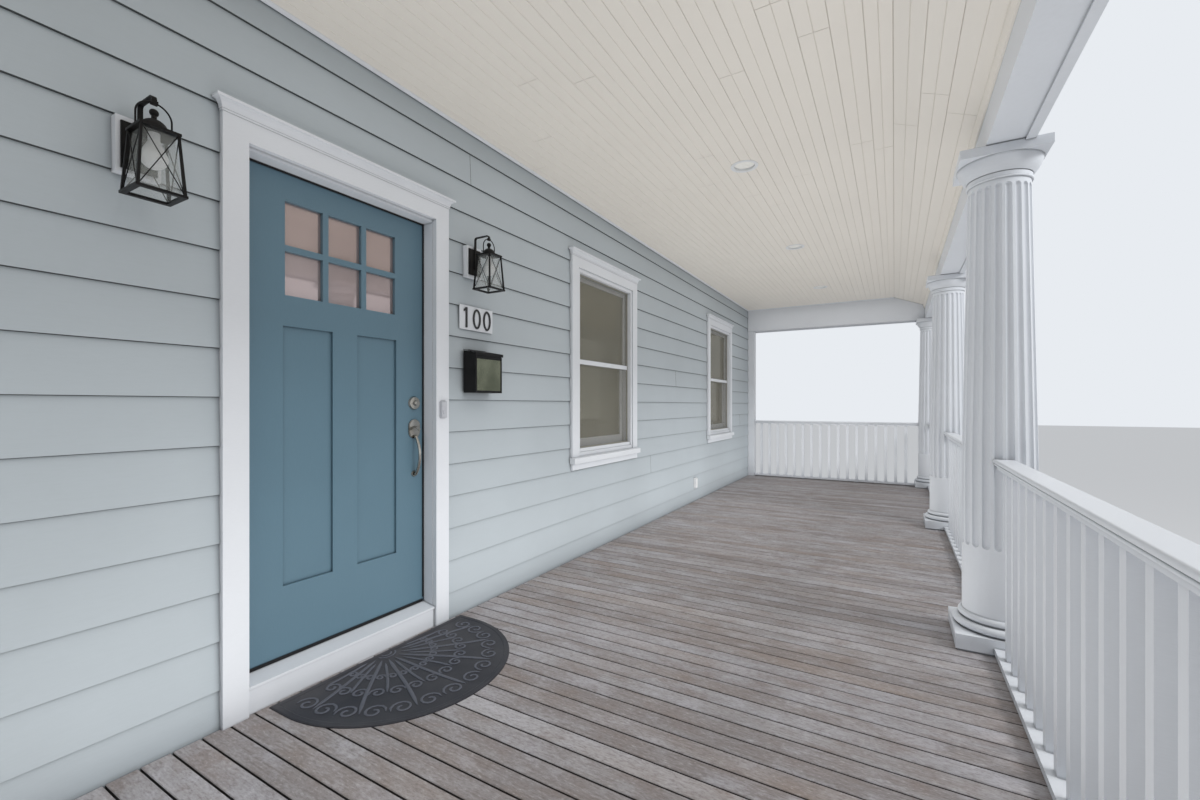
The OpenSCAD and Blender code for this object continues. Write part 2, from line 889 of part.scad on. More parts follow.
// The thumb latch outside, its knob inside, and the small plate under the grip
module door_handle_set() {
    color("silver") {
        outer_plate(grip_low, 17, plate_t);
        union() {
            latch_plate(latch_plate_r, plate_t - 2);
            latch_plate(latch_plate_r - 4, plate_t);
            thumb_piece();
        }
        union() {
            inner_plate(latch_z, 33, 8);
            translate([lock_x, leaf_in_y, deck_h + latch_z]) rotate([-90, 0, 0])
            cylinder(h = 36, r = 11);
            translate([lock_x, leaf_in_y + 32, deck_h + latch_z]) sphere(inner_knob_r);
        }
    }
}

// Windows

window_frame_w = 30;
window_casing_w = 90;
frame_set_back = 10;
window_half = sash_open_w / 2 + window_frame_w;
window_casing = window_half + window_casing_w;
window_low = deck_h + 732;
window_high = deck_h + sash_open_high + window_frame_w;
window_head = deck_h + 2322;
window_cap = window_head + crown_h;
sill_h = 42;
sill_out = 28;
sill_ear = 12;
apron_low = deck_h + 683;
frame_foot = window_low + 49;
frame_step = frame_foot + 30;

module window_pocket(x) {
    block([x - window_half, wall_y - 50, window_low],
          [x + window_half, wall_y + wall_t + 1, window_high]);
    block([x - window_casing, wall_y - 50, apron_low],
          [x + window_casing, wall_y + lap_t, window_cap]);
}

// Casing boards with a crown, a sill and an apron, and the frame set back between them
module window_frame(x) {
    y0 = wall_y - casing_t;
    frame_y = y0 + frame_set_back;
    open_half = sash_open_w / 2;
    color("white")
    difference() {
        union() {
            block([x - window_casing, y0, apron_low], [x + window_casing, wall_y + lap_t, window_cap]);
            block([x - window_half, wall_y, window_low],
                  [x + window_half, wall_y + wall_t, window_high]);
            crown(x, window_casing, window_head);
            along_x(x - window_casing - sill_ear, x + window_casing + sill_ear)
            polygon([[wall_y, window_low], [y0 - sill_out, window_low],
                     [y0 - sill_out, window_low + sill_h], [wall_y, window_low + sill_h + 6]]);
        }
        block([x - window_half, y0 - 100, frame_foot], [x + window_half, frame_y, window_high]);
        block([x - open_half, y0 - 100, frame_step],
              [x + open_half, frame_y + 8, deck_h + sash_open_high]);
        block([x - open_half, y0 - 100, deck_h + sash_open_low],
              [x + open_half, wall_y + wall_t + 1, deck_h + sash_open_high]);
    }
}

sash_t = 30;
stile_w = 45;
upper_y = wall_y + 48;
lower_y = upper_y + sash_t + 1;
meet_z = deck_h + (sash_open_low + sash_open_high) / 2;

module sash(x, y, low, high, rail_low, rail_high) {
    half = sash_open_w / 2;
    difference() {
        block([x - half, y, low], [x + half, y + sash_t, high]);
        block([x - half + stile_w, y - 1, low + rail_low],
              [x + half - stile_w, y + sash_t + 1, high - rail_high]);
    }
}

module window_sashes() {
    color("white")
    for (x = [window_1_x, window_2_x]) {
        sash(x, upper_y, meet_z - 18, deck_h + sash_open_high, 36, 45);
        sash(x, lower_y, deck_h + sash_open_low, meet_z + 18, 70, 36);
    }
}

// Insect screens in slim frames, set before the lower sashes
screen_w = 14;
screen_t = 8;
screen_y = wall_y + 26;

module window_screens() {
    half = sash_open_w / 2;
    low = deck_h + sash_open_low;
    high = meet_z - 18;
    color("dimgray")
    for (x = [window_1_x, window_2_x])
        difference() {
            block([x - half, screen_y, low], [x + half, screen_y + screen_t, high]);
            for (y = [screen_y - 1, screen_y + screen_t / 2 + 1])
                block([x - half + screen_w, y, low + screen_w],
                      [x + half - screen_w, y + screen_t / 2, high - screen_w]);
        }
}

module window_glass() {
    half = sash_open_w / 2 - stile_w;
    color("lightblue", 0.4)
    for (x = [window_1_x, window_2_x]) {
        block([x - half, upper_y + sash_t / 2 - 2, meet_z + 18],
              [x + half, upper_y + sash_t / 2 + 2, deck_h + sash_open_high - 45]);
        block([x - half, lower_y + sash_t / 2 - 2, deck_h + sash_open_low + 70],
              [x + half, lower_y + sash_t / 2 + 2, meet_z - 18]);
    }
}

// Lights

module recessed_lights() {
    color("whitesmoke")
    for (x = light_x)
        translate([x, yd(light_d), deck_h + ceiling_h])
        difference() {
            union() {
                translate([0, 0, -3]) cylinder(h = 3, r = 88);
                translate([0, 0, -1]) cylinder(h = 90, r = light_hole_r - 1);
            }
            translate([0, 0, -4]) cylinder(h = 24, r = 66);
        }
}

block_w = 115;
block_low = 1912;
block_high = 2088;
block_t = 28;
lantern_x = [door_x - 781, door_x + 725];

module lantern_pocket(x) {
    block([x - block_w / 2, wall_y - 50, deck_h + block_low],
          [x + block_w / 2, wall_y + lap_t, deck_h + block_high]);
}

module lantern_blocks() {
    color("white")
    for (x = lantern_x)
        block([x - block_w / 2, wall_y - block_t, deck_h + block_low],
              [x + block_w / 2, wall_y + lap_t, deck_h + block_high]);
}

// The cage is a square that narrows upwards, open below, on a bracket from a plate on the block
lantern_out = 112;
cage_low = 1831;
cage_high = 2020;
cage_low_w = 125;
cage_high_w = 99;
cage_bar = 8;
cage_ring_h = 8;
wire_r = 1.5;
cap_plate_t = 8;
dome_r = 36;
bail_r = 45;
bail_wire_r = 2.6;
bail_z = 2070;
plate_w = 92;
plate_low = 1924;
plate_high = 2072;
strap_t = 5;
strap_w = 14;
strap_top = 2140;
strap_bend_r = 15;

// A round rod between two points
module rod(from, to, r) {
    along = to - from;
    translate(from)
    rotate([0, acos(along[2] / norm(along)), atan2(along[1], along[0])])
    cylinder(h = norm(along), r = r, $fn = 16);
}

// Four corner bars that lean inwards, on a square ring
module cage_frame() {
    ring_in = cage_low_w - 25;
    translate([0, 0, cage_low])
    linear_extrude(cage_high - cage_low, scale = cage_high_w / cage_low_w)
    for (sx = [-1, 1])
        for (sy = [-1, 1])
            translate([sx, sy] * (cage_low_w - cage_bar) / 2) square(cage_bar, center = true);
    difference() {
        square_slab(cage_low_w + 4, cage_low - cage_ring_h / 2, cage_low + cage_ring_h / 2);
        square_slab(ring_in, cage_low - cage_ring_h, cage_low + cage_ring_h);
    }
}

// Two crossed wires on each side of the cage, one behind the other
module cage_wires() {
    for (turn = [0:90:270])
        rotate([0, 0, turn])
        for (side = [-1, 1])
            let (y1 = -cage_low_w / 2 + 3.2 + side * 0.8, y2 = -cage_high_w / 2 + 3.2 + side * 0.8)
            rod([-side * (cage_low_w / 2 - 5), y1, cage_low + 2],
                [side * (cage_high_w / 2 - 5), y2, cage_high - 1], wire_r);
}

// The cap: a square plate, a dome and a knob, with a bail arched over them
module lantern_cap() {
    plate_top = cage_high + cap_plate_t;
    square_slab(cage_high_w + 5, cage_high, plate_top);
    intersection() {
        translate([0, 0, plate_top]) sphere(dome_r);
        square_slab(3 * dome_r, plate_top - 1, plate_top + 2 * dome_r);
    }
    translate([0, 0, plate_top + dome_r - 4]) cylinder(h = 18, r = 7);
    translate([0, 0, plate_top + dome_r + 20]) sphere(12);
    translate([0, 0, bail_z]) rotate([90, 0, 0])
    rotate_extrude(angle = 180) translate([bail_r, 0]) circle(bail_wire_r, $fn = 16);
    for (side = [-1, 1])
        translate([side * bail_r, 0, plate_top - 1])
        cylinder(h = bail_z - plate_top + 1, r = bail_wire_r, $fn = 16);
}

// A quarter of a flat ring round the point (y, z), towards the signs sy and sz
module strap_bend(y, z, sy, sz) {
    translate([y, z])
    intersection() {
        difference() {
            circle(strap_bend_r);
            circle(strap_bend_r - strap_t);
        }
        translate([min(0, sy * 20), min(0, sz * 20)]) square(20);
    }
}

// The strap rises from the plate, bends forwards and comes down to the top of the bail
module lantern_strap() {
    y0 = -6;
    y1 = -lantern_out - strap_t / 2;
    inner_z = strap_top - strap_bend_r;
    along_x(-strap_w / 2, strap_w / 2) {
        translate([y0 - strap_t, plate_low + 30]) square([strap_t, inner_z - plate_low - 30]);
        strap_bend(y0 - strap_bend_r, inner_z, 1, 1);
        translate([y1 + strap_bend_r, strap_top - strap_t])
        square([y0 - y1 - 2 * strap_bend_r, strap_t]);
        strap_bend(y1 + strap_bend_r, inner_z, -1, 1);
        translate([y1, bail_z + bail_r - 6]) square([strap_t, inner_z - bail_z - bail_r + 6]);
    }
    block([-9, -lantern_out - 6, bail_z + bail_r - 6], [9, -lantern_out + 6, bail_z + bail_r + 6]);
}

module lantern(x) {
    color("black")
    translate([x, wall_y - block_t, deck_h])
    union() {
        block([-plate_w / 2, -6, plate_low], [plate_w / 2, 0, plate_high]);
        lantern_strap();
        translate([0, -lantern_out, 0]) {
            cage_frame();
            cage_wires();
            lantern_cap();
        }
    }
}

module lantern_bulbs() {
    bulb_r = 35;
    bulb_z = 1944;
    color("whitesmoke")
    for (x = lantern_x)
        translate([x, wall_y - block_t - lantern_out, deck_h])
        union() {
            translate([0, 0, bulb_z]) sphere(bulb_r);
            translate([0, 0, bulb_z + 18]) cylinder(h = 32, r1 = 30, r2 = 15);
            translate([0, 0, bulb_z + 48]) cylinder(h = cage_high - bulb_z - 48, r = 15);
        }
}

// A square frustum between two widths
module frustum(low_w, high_w, h) {
    linear_extrude(h, scale = high_w / low_w) square(low_w, center = true);
}

module lantern_glass() {
    low = cage_low + cage_ring_h / 2;
    h = cage_high - low - 4;
    inset = 2 * cage_bar + 3;
    color("lightblue", 0.4)
    for (x = lantern_x)
        translate([x, wall_y - block_t - lantern_out, deck_h + low])
        difference() {
            frustum(cage_low_w - inset, cage_high_w - inset, h);
            translate([0, 0, -1])
            frustum(cage_low_w - inset - 4, cage_high_w - inset - 4, h + 2);
        }
}

// Things on the wall and the floor

module house_number_plaque() {
    color("white")
    block([door_x + 633, wall_y - 8, deck_h + 1612], [door_x + 901, wall_y, deck_h + 1750]);
}

mail_d = 88;
mail_low = deck_h + 1250;
mail_back = deck_h + 1490;
mail_front = deck_h + 1475;
mail_t = 2;
mail_gap = 8;
mail_rim_w = 9;
mail_rim_t = 3;
mail_rear = wall_y - mail_gap;

module mail_section(inset) {
    polygon([[mail_rear - inset, mail_low + inset], [mail_rear - mail_d + inset, mail_low + inset],
             [mail_rear - mail_d + inset, mail_front], [mail_rear - inset, mail_back]]);
}

// A slim raised rim round the front face, below the lid's lip
module mail_rim() {
    half = mailbox_w / 2;
    front = mail_rear - mail_d;
    high = mail_front - lid_lip - 3;
    difference() {
        block([mailbox_x - half, front - mail_rim_t, mail_low], [mailbox_x + half, front + 1, high]);
        block([mailbox_x - half + mail_rim_w, front - mail_rim_t - 1, mail_low + mail_rim_w],
              [mailbox_x + half - mail_rim_w, front, high - mail_rim_w]);
    }
}

// The lid turns on a rod that two tabs of the rear wall hold
rod_r = 1.6;
barrel_r = 3.6;
tab_x = 55;
tab_w = 12;
rod_z = mail_back + 6;

module mail_rod(from, to, r) {
    translate([mailbox_x + from, mail_rear, rod_z]) rotate([0, 90, 0])
    cylinder(h = to - from, r = r);
}

module mailbox_body() {
    bracket_w = 120;
    color("black")
    difference() {
        union() {
            along_x(mailbox_x - mailbox_w / 2, mailbox_x + mailbox_w / 2) mail_section(0);
            mail_rim();
            block([mailbox_x - bracket_w / 2, mail_rear - mail_t, mail_low + 40],
                  [mailbox_x + bracket_w / 2, wall_y, mail_low + 180]);
            for (side = [-1, 1]) {
                block([mailbox_x + side * tab_x - tab_w / 2, mail_rear - mail_t, mail_back - 1],
                      [mailbox_x + side * tab_x + tab_w / 2, mail_rear, rod_z]);
                mail_rod(side * tab_x - tab_w / 2, side * tab_x + tab_w / 2, barrel_r);
            }
            mail_rod(-tab_x - 20, tab_x + 20, rod_r);
        }
        along_x(mailbox_x - mailbox_w / 2 + mail_t, mailbox_x + mailbox_w / 2 - mail_t)
        mail_section(mail_t);
    }
}

lid_gap = 5;
lid_t = 2;
lid_lap = 6;
lid_lip = 13;

module mailbox_lid() {
    reach = mailbox_w / 2 + lid_lap;
    out = mail_rear - mail_d - lid_lap;
    color("black")
    difference() {
        union() {
            along_x(mailbox_x - reach, mailbox_x + reach)
            polygon([[mail_rear, rod_z - lid_t / 2], [out, mail_front + lid_gap - 3],
                     [out, mail_front - lid_lip], [out - lid_t, mail_front - lid_lip],
                     [out - lid_t, mail_front + lid_gap + lid_t - 3],
                     [mail_rear, rod_z + lid_t / 2]]);
            mail_rod(-tab_x - 16, tab_x + 16, barrel_r);
        }
        for (side = [-1, 1])
            block([mailbox_x + side * tab_x - tab_w / 2 - 1, mail_rear - 10, rod_z - 10],
                  [mailbox_x + side * tab_x + tab_w / 2 + 1, mail_rear + 10, rod_z + 10]);
        mail_rod(-reach - 1, reach + 1, rod_r + 0.4);
    }
}

// The bell push stands on the casing beside the lock
bell_w = 40;
bell_low = 1112;
bell_high = 1200;
bell_t = 14;

module doorbell() {
    x = door_x + (casing_inner + casing_outer) / 2;
    y = wall_y - casing_t;
    color("whitesmoke")
    union() {
        block([x - bell_w / 2, y - bell_t + 3, deck_h + bell_low],
              [x + bell_w / 2, y, deck_h + bell_high]);
        block([x - bell_w / 2 + 3, y - bell_t, deck_h + bell_low + 3],
              [x + bell_w / 2 - 3, y, deck_h + bell_high - 3]);
        translate([x, y - bell_t, deck_h + bell_low + 30]) rotate([90, 0, 0])
        cylinder(h = 3, r1 = 11, r2 = 10);
    }
}

outlet_x = 2840;
outlet_z = 220;
outlet_w = 80;
outlet_h = 124;

module outlet_pocket() {
    block([outlet_x - outlet_w / 2, wall_y - 50, deck_h + outlet_z - outlet_h / 2],
          [outlet_x + outlet_w / 2, wall_y + lap_t, deck_h + outlet_z + outlet_h / 2]);
}

// A weather cover: a base plate and a hooded lid
module outlet_cover() {
    color("white")
    union() {
        block([outlet_x - outlet_w / 2, wall_y - 8, deck_h + outlet_z - outlet_h / 2],
              [outlet_x + outlet_w / 2, wall_y + lap_t, deck_h + outlet_z + outlet_h / 2]);
        block([outlet_x - outlet_w / 2 + 6, wall_y - 22, deck_h + outlet_z - outlet_h / 2 + 6],
              [outlet_x + outlet_w / 2 - 6, wall_y, deck_h + outlet_z + outlet_h / 2 - 6]);
    }
}

mat_x = -1600;
mat_r = 505;
mat_straight = 115;
mat_t = 9;

module doormat() {
    y1 = wall_y - casing_t - 2;
    color("dimgray")
    translate([mat_x, y1, deck_h])
    intersection() {
        union() {
            translate([0, -mat_straight, 0]) cylinder(h = mat_t, r = mat_r, $fn = 96);
            translate([-mat_r, -mat_straight, 0]) cube([2 * mat_r, mat_straight, mat_t]);
        }
        translate([-600, -800, 0]) cube([1200, 800, mat_t]);
    }
}

foundation_wall();
porch_piers();
deck_frame();
deck_joists();
deck_floor();
deck_skirt();
wall_near();
wall_over_door();
wall_far();
end_pilasters();
column_bases();
column_shaft(0);  // column_shaft_1
column_shaft(1);  // column_shaft_2
column_shaft(2);  // column_shaft_3
column_shaft(3);  // column_shaft_4
column_shaft(4);  // column_shaft_5
column_capitals();
front_beam();
end_beams();
front_frieze();
end_friezes();
ceiling_flat();
ceiling_slope();
crown_trim();
roof_ends();
roof_frame();
roof_covering();
eave_trim();
railing_bay(1);  // railing_bay_2
railing_bay(2);  // railing_bay_3
railing_bay(3);  // railing_bay_4
railing_end(-1);  // railing_near_end
railing_end(1);  // railing_far_end
door_frame();
door_casing();
door_threshold();
door_hinges();
front_door();
door_glass();
door_handle_set();
door_grip();
door_deadbolt();
window_frame(window_1_x);  // window_frame_1
window_frame(window_2_x);  // window_frame_2
window_sashes();
window_glass();
window_screens();
recessed_lights();
lantern_blocks();
lantern(lantern_x[0]);  // lantern_1
lantern(lantern_x[1]);  // lantern_2
lantern_glass();
lantern_bulbs();
house_number_plaque();
mailbox_body();
mailbox_lid();
doorbell();
outlet_cover();
doormat();
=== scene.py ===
"""Looks of the front porch: finishes, boards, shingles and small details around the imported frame."""
import json
import math
import random

import bpy
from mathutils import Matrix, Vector


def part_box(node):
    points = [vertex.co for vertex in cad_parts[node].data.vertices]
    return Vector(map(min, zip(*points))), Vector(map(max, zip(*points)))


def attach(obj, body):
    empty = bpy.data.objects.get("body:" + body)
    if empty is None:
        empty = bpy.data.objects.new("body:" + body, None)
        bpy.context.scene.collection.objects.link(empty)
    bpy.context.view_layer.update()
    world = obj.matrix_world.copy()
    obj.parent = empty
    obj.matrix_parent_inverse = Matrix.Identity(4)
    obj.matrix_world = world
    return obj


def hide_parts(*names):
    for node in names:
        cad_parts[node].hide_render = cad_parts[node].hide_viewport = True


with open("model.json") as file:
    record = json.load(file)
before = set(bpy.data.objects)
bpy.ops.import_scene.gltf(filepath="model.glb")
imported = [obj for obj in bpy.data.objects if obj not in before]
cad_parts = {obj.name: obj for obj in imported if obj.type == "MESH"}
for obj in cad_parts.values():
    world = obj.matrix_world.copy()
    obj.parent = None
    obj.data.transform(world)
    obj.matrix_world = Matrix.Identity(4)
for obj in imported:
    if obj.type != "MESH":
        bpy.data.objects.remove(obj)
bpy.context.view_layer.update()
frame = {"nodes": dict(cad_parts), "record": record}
RNG = random.Random(7)
PORCH = "porch"

# Main places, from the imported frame, in metres
DECK_LOW, DECK_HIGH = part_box("deck_floor")
CEILING_LOW, CEILING_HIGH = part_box("ceiling_flat")
SLOPE_LOW, SLOPE_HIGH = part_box("ceiling_slope")
ROOF_LOW, ROOF_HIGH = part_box("roof_covering")
DECK_Z = DECK_HIGH.z
WALL_Y = DECK_HIGH.y

# Siding courses: the height of each, and the level of the first one's lower edge
COURSE = 0.178
FIRST_COURSE = DECK_Z + 0.142

# Ceiling lights
LIGHT_X = (-3.78, -1.78, 0.22, 2.21, 4.22)
LIGHT_Y = WALL_Y - 1.265

# The doormat's relief is painted paler above this level, as a highlight on its ridges
MAT_HIGHLIGHT_Z = DECK_Z + 0.0062


def srgb(r, g, b):
    """A colour on the 0 to 255 screen scale as the linear value that a shader takes."""
    def channel(c):
        c /= 255
        return c / 12.92 if c <= 0.04045 else ((c + 0.055) / 1.055) ** 2.4
    return (channel(r), channel(g), channel(b), 1.0)


def shade(color, factor):
    """The same colour, darker or lighter."""
    return tuple(min(1.0, c * factor) for c in color[:3]) + (1.0,)


WHITE = srgb(216, 220, 226)
WARM_WHITE = srgb(233, 228, 220)
TEAL = srgb(93, 122, 138)


class Finish:
    """One procedural material: a Principled shader and the nodes that vary it."""

    # Places of the factor, the two colours and the result among the sockets of a Mix node
    MIX_INPUTS = (0, 6, 7)
    MIX_RESULT = 2
    # How far a tone moves the grain along each axis
    GRAIN_SHIFT = {"X": 37.0, "Y": 53.0, "Z": 71.0}

    def __init__(self, name, color, rough):
        self.mat = bpy.data.materials.new(name)
        self.mat.use_nodes = True
        self.tree = self.mat.node_tree
        self.shader = self.tree.nodes["Principled BSDF"]
        self.coord = self.add("ShaderNodeTexCoord").outputs["Object"]
        self.set("Base Color", color)
        self.set("Roughness", rough)

    def add(self, kind, **props):
        node = self.tree.nodes.new(kind)
        for key, value in props.items():
            setattr(node, key, value)
        return node

    def join(self, value, socket):
        """A plain value, or the output of another node."""
        if isinstance(value, bpy.types.NodeSocket):
            self.tree.links.new(value, socket)
        else:
            socket.default_value = value

    def set(self, socket, value):
        self.join(value, self.shader.inputs[socket])

    def stretched(self, stretch):
        """Coordinates scaled along each axis, for grain and strokes."""
        node = self.add("ShaderNodeMapping")
        node.inputs["Scale"].default_value = stretch
        self.join(self.coord, node.inputs["Vector"])
        return node.outputs["Vector"]

    def shifted(self, by, stretch):
        """Scaled coordinates moved by a factor, so that each board gets its own grain."""
        move = self.add("ShaderNodeVectorMath", operation="ADD")
        self.join(self.stretched(stretch), move.inputs[0])
        spread = self.add("ShaderNodeCombineXYZ")
        for axis, stride in self.GRAIN_SHIFT.items():
            self.join(self.math("MULTIPLY", by, stride), spread.inputs[axis])
        self.join(spread.outputs["Vector"], move.inputs[1])
        return move.outputs["Vector"]

    def noise(self, scale, stretch=(1, 1, 1), detail=4, rough=0.5, distort=0, vector=None):
        node = self.add("ShaderNodeTexNoise")
        node.inputs["Scale"].default_value = scale
        node.inputs["Detail"].default_value = detail
        node.inputs["Roughness"].default_value = rough
        node.inputs["Distortion"].default_value = distort
        self.join(vector or self.stretched(stretch), node.inputs["Vector"])
        return node.outputs["Fac"]

    def axis(self, name):
        """One object coordinate in metres."""
        node = self.add("ShaderNodeSeparateXYZ")
        self.join(self.coord, node.inputs["Vector"])
        return node.outputs[name]

    def facing(self, name):
        """One component of the surface's own direction."""
        node = self.add("ShaderNodeSeparateXYZ")
        self.join(self.add("ShaderNodeNewGeometry").outputs["True Normal"], node.inputs["Vector"])
        return node.outputs[name]

    def attribute(self, name):
        return self.add("ShaderNodeAttribute", attribute_name=name).outputs["Fac"]

    def ramp(self, factor, *stops):
        """Colours or greys placed along a factor: (position, colour), ..."""
        node = self.add("ShaderNodeValToRGB")
        line = node.color_ramp
        for _ in range(len(stops) - 2):
            line.elements.new(0.5)
        for element, (place, color) in zip(line.elements, stops):
            element.position = place
            element.color = color if hasattr(color, "__len__") else (color, color, color, 1)
        self.join(factor, node.inputs["Fac"])
        return node.outputs["Color"]

    def math(self, operation, a, b):
        node = self.add("ShaderNodeMath", operation=operation)
        self.join(a, node.inputs[0])
        self.join(b, node.inputs[1])
        return node.outputs["Value"]

    def mix(self, factor, a, b, blend="MIX"):
        node = self.add("ShaderNodeMix", data_type="RGBA", blend_type=blend)
        for place, value in zip(self.MIX_INPUTS, (factor, a, b)):
            self.join(value, node.inputs[place])
        return node.outputs[self.MIX_RESULT]

    def painted_corner_shade(self, color, distance, depth):
        """The colour with painted shade: darker in corners and narrow gaps, where other surfaces come close.
        """
        node = self.add("ShaderNodeAmbientOcclusion", samples=8)
        node.inputs["Distance"].default_value = distance
        # Painted shade: the colour darkens where ambient occlusion finds other surfaces near
        dust_and_shade = self.ramp(node.outputs["AO"], (0.25, 1 - depth), (0.9, 1.0))
        return self.mix(1.0, color, dust_and_shade, "MULTIPLY")

    def bump(self, height, strength, distance):
        node = self.add("ShaderNodeBump")
        node.inputs["Strength"].default_value = strength
        node.inputs["Distance"].default_value = distance
        self.join(height, node.inputs["Height"])
        self.set("Normal", node.outputs["Normal"])


def paint(name, color, rough, grain=(6, 6, 60), dirt=0.06, corner_shade=0.6):
    """Brushed paint on timber: faint clouds of tone, brush strokes and a little unevenness, with painted
    shade in its corners.
    """
    f = Finish(name, color, rough)
    clouds = f.noise(scale=1.6, detail=3)
    strokes = f.noise(scale=9, stretch=grain, detail=5)
    dirty, clean = shade(color, 1 - dirt), shade(color, 1 + dirt / 3)
    tone = f.ramp(f.mix(0.35, clouds, strokes), (0.3, dirty), (0.7, clean))
    # Painted shade darkens the corners and narrow gaps
    f.set("Base Color", f.painted_corner_shade(tone, distance=0.014, depth=corner_shade))
    f.set("Roughness", f.ramp(strokes, (0.2, rough - 0.06), (0.8, rough + 0.08)))
    f.bump(strokes, strength=0.12, distance=0.001)
    return f.mat


def plain(name, color, rough):
    """A smooth moulded or coated surface with a fine unevenness."""
    f = Finish(name, color, rough)
    specks = f.noise(scale=60, detail=3)
    f.set("Base Color", f.ramp(specks, (0.3, shade(color, 0.94)), (0.7, color)))
    f.bump(f.noise(scale=220, detail=2), strength=0.06, distance=0.0005)
    return f.mat


def concrete():
    """Grey masonry with clouds of tone and coarse grit."""
    f = Finish("concrete", srgb(150, 147, 141), 0.92)
    clouds = f.noise(scale=2.5, detail=6, rough=0.6)
    grit = f.noise(scale=90, detail=5, rough=0.7)
    base = f.ramp(clouds, (0.3, srgb(128, 126, 121)), (0.7, srgb(165, 162, 156)))
    grains = f.ramp(grit, (0.35, srgb(110, 108, 104)), (0.65, srgb(180, 177, 170)))
    f.set("Base Color", f.mix(0.35, base, grains))
    f.bump(grit, strength=0.4, distance=0.002)
    return f.mat


def deck_wood():
    """Weathered boards: each has its own tone, with long grain, fine specks and grey and brown patches;
    their sides down in the gaps get painted shade.
    """
    f = Finish("weathered_boards", srgb(176, 170, 170), 0.8)
    tone = f.attribute("tone")
    grain = f.noise(scale=4.0, detail=8, rough=0.7, distort=0.3, vector=f.shifted(tone, (30, 1.0, 1)))
    specks = f.noise(scale=90.0, detail=4, rough=0.75, vector=f.shifted(tone, (1.6, 0.5, 1)))
    patches = f.noise(scale=5.5, detail=7, rough=0.68, vector=f.shifted(tone, (1.6, 0.8, 1)))
    stain = f.noise(scale=0.8, detail=4, vector=f.shifted(tone, (3, 1, 1)))
    board = f.ramp(tone, (0.0, srgb(134, 128, 127)), (0.25, srgb(150, 145, 145)), (0.5, srgb(158, 155, 156)),
                   (0.8, srgb(165, 163, 167)), (1.0, srgb(182, 180, 183)))
    lines = f.ramp(grain, (0.34, srgb(116, 108, 106)), (0.5, srgb(167, 163, 165)),
                   (0.7, srgb(198, 196, 200)))
    color = f.mix(0.3, board, lines)
    color = f.mix(f.ramp(patches, (0.34, 0.6), (0.5, 0.0)), color, srgb(134, 121, 115))
    color = f.mix(f.ramp(patches, (0.52, 0.0), (0.66, 0.5)), color, srgb(192, 191, 199))
    color = f.mix(f.ramp(stain, (0.5, 0.0), (0.7, 0.35)), color, srgb(160, 143, 130))
    color = f.mix(f.ramp(specks, (0.36, 0.5), (0.5, 0.0)), color, srgb(112, 102, 100))
    color = f.mix(f.ramp(specks, (0.56, 0.0), (0.72, 0.45)), color, srgb(216, 213, 214))
    # Painted shade: the board sides seen in the gaps are made nearly black
    side = f.math("LESS_THAN", f.facing("Z"), 0.5)
    f.set("Base Color", f.mix(f.math("MULTIPLY", side, 0.9), color, srgb(34, 28, 25)))
    f.set("Roughness", f.ramp(specks, (0.3, 0.7), (0.7, 0.9)))
    f.bump(f.mix(0.5, patches, specks), strength=0.35, distance=0.0015)
    return f.mat


def siding_paint():
    """Painted lap siding with a shallow wood grain; painted shade makes the step under each course, a thin
    band just below each butt and the corners dark, and the side of the wall towards the rooms is plain
    plaster."""
    lip_height = 0.0022
    plaster_y = WALL_Y + 0.125
    color = srgb(177, 186, 192)
    f = Finish("siding_paint", color, 0.5)
    grain = f.noise(scale=7, stretch=(3, 3, 42), detail=6, rough=0.6, distort=0.3)
    clouds = f.noise(scale=1.2, detail=3)
    row = f.math("FLOORED_MODULO", f.math("SUBTRACT", f.axis("Z"), FIRST_COURSE), COURSE)
    tone = f.ramp(clouds, (0.3, shade(color, 0.95)), (0.7, shade(color, 1.03)))
    tone = f.mix(f.ramp(grain, (0.3, 0.10), (0.6, 0.0)), tone, shade(color, 0.75))
    # Painted shade: a thin band just under each butt and every face turned down go nearly black, and corners
    # grow darker
    lip = f.math("GREATER_THAN", row, COURSE - lip_height)
    under = f.math("LESS_THAN", f.facing("Z"), -0.5)
    dark = f.math("MULTIPLY", f.math("MAXIMUM", lip, under), 0.85)
    tone = f.painted_corner_shade(f.mix(dark, tone, srgb(62, 66, 64)), distance=0.03, depth=0.6)
    inside = f.math("GREATER_THAN", f.axis("Y"), plaster_y)
    f.set("Base Color", f.mix(inside, tone, srgb(228, 225, 217)))
    f.set("Roughness", f.ramp(grain, (0.3, 0.44), (0.7, 0.58)))
    f.bump(grain, strength=0.22, distance=0.0012)
    return f.mat


def shingle_granules():
    """Mineral granules on roof shingles, each shingle with its own tone."""
    f = Finish("shingle_granules", srgb(92, 92, 94), 0.95)
    tone = f.attribute("tone")
    grit = f.noise(scale=420, detail=3, rough=0.8)
    body = f.ramp(tone, (0.0, srgb(66, 66, 68)), (0.5, srgb(90, 89, 90)), (1.0, srgb(116, 113, 110)))
    grains = f.ramp(grit, (0.35, srgb(44, 44, 46)), (0.65, srgb(150, 147, 142)))
    f.set("Base Color", f.mix(0.5, body, grains))
    f.bump(grit, strength=0.6, distance=0.0015)
    return f.mat


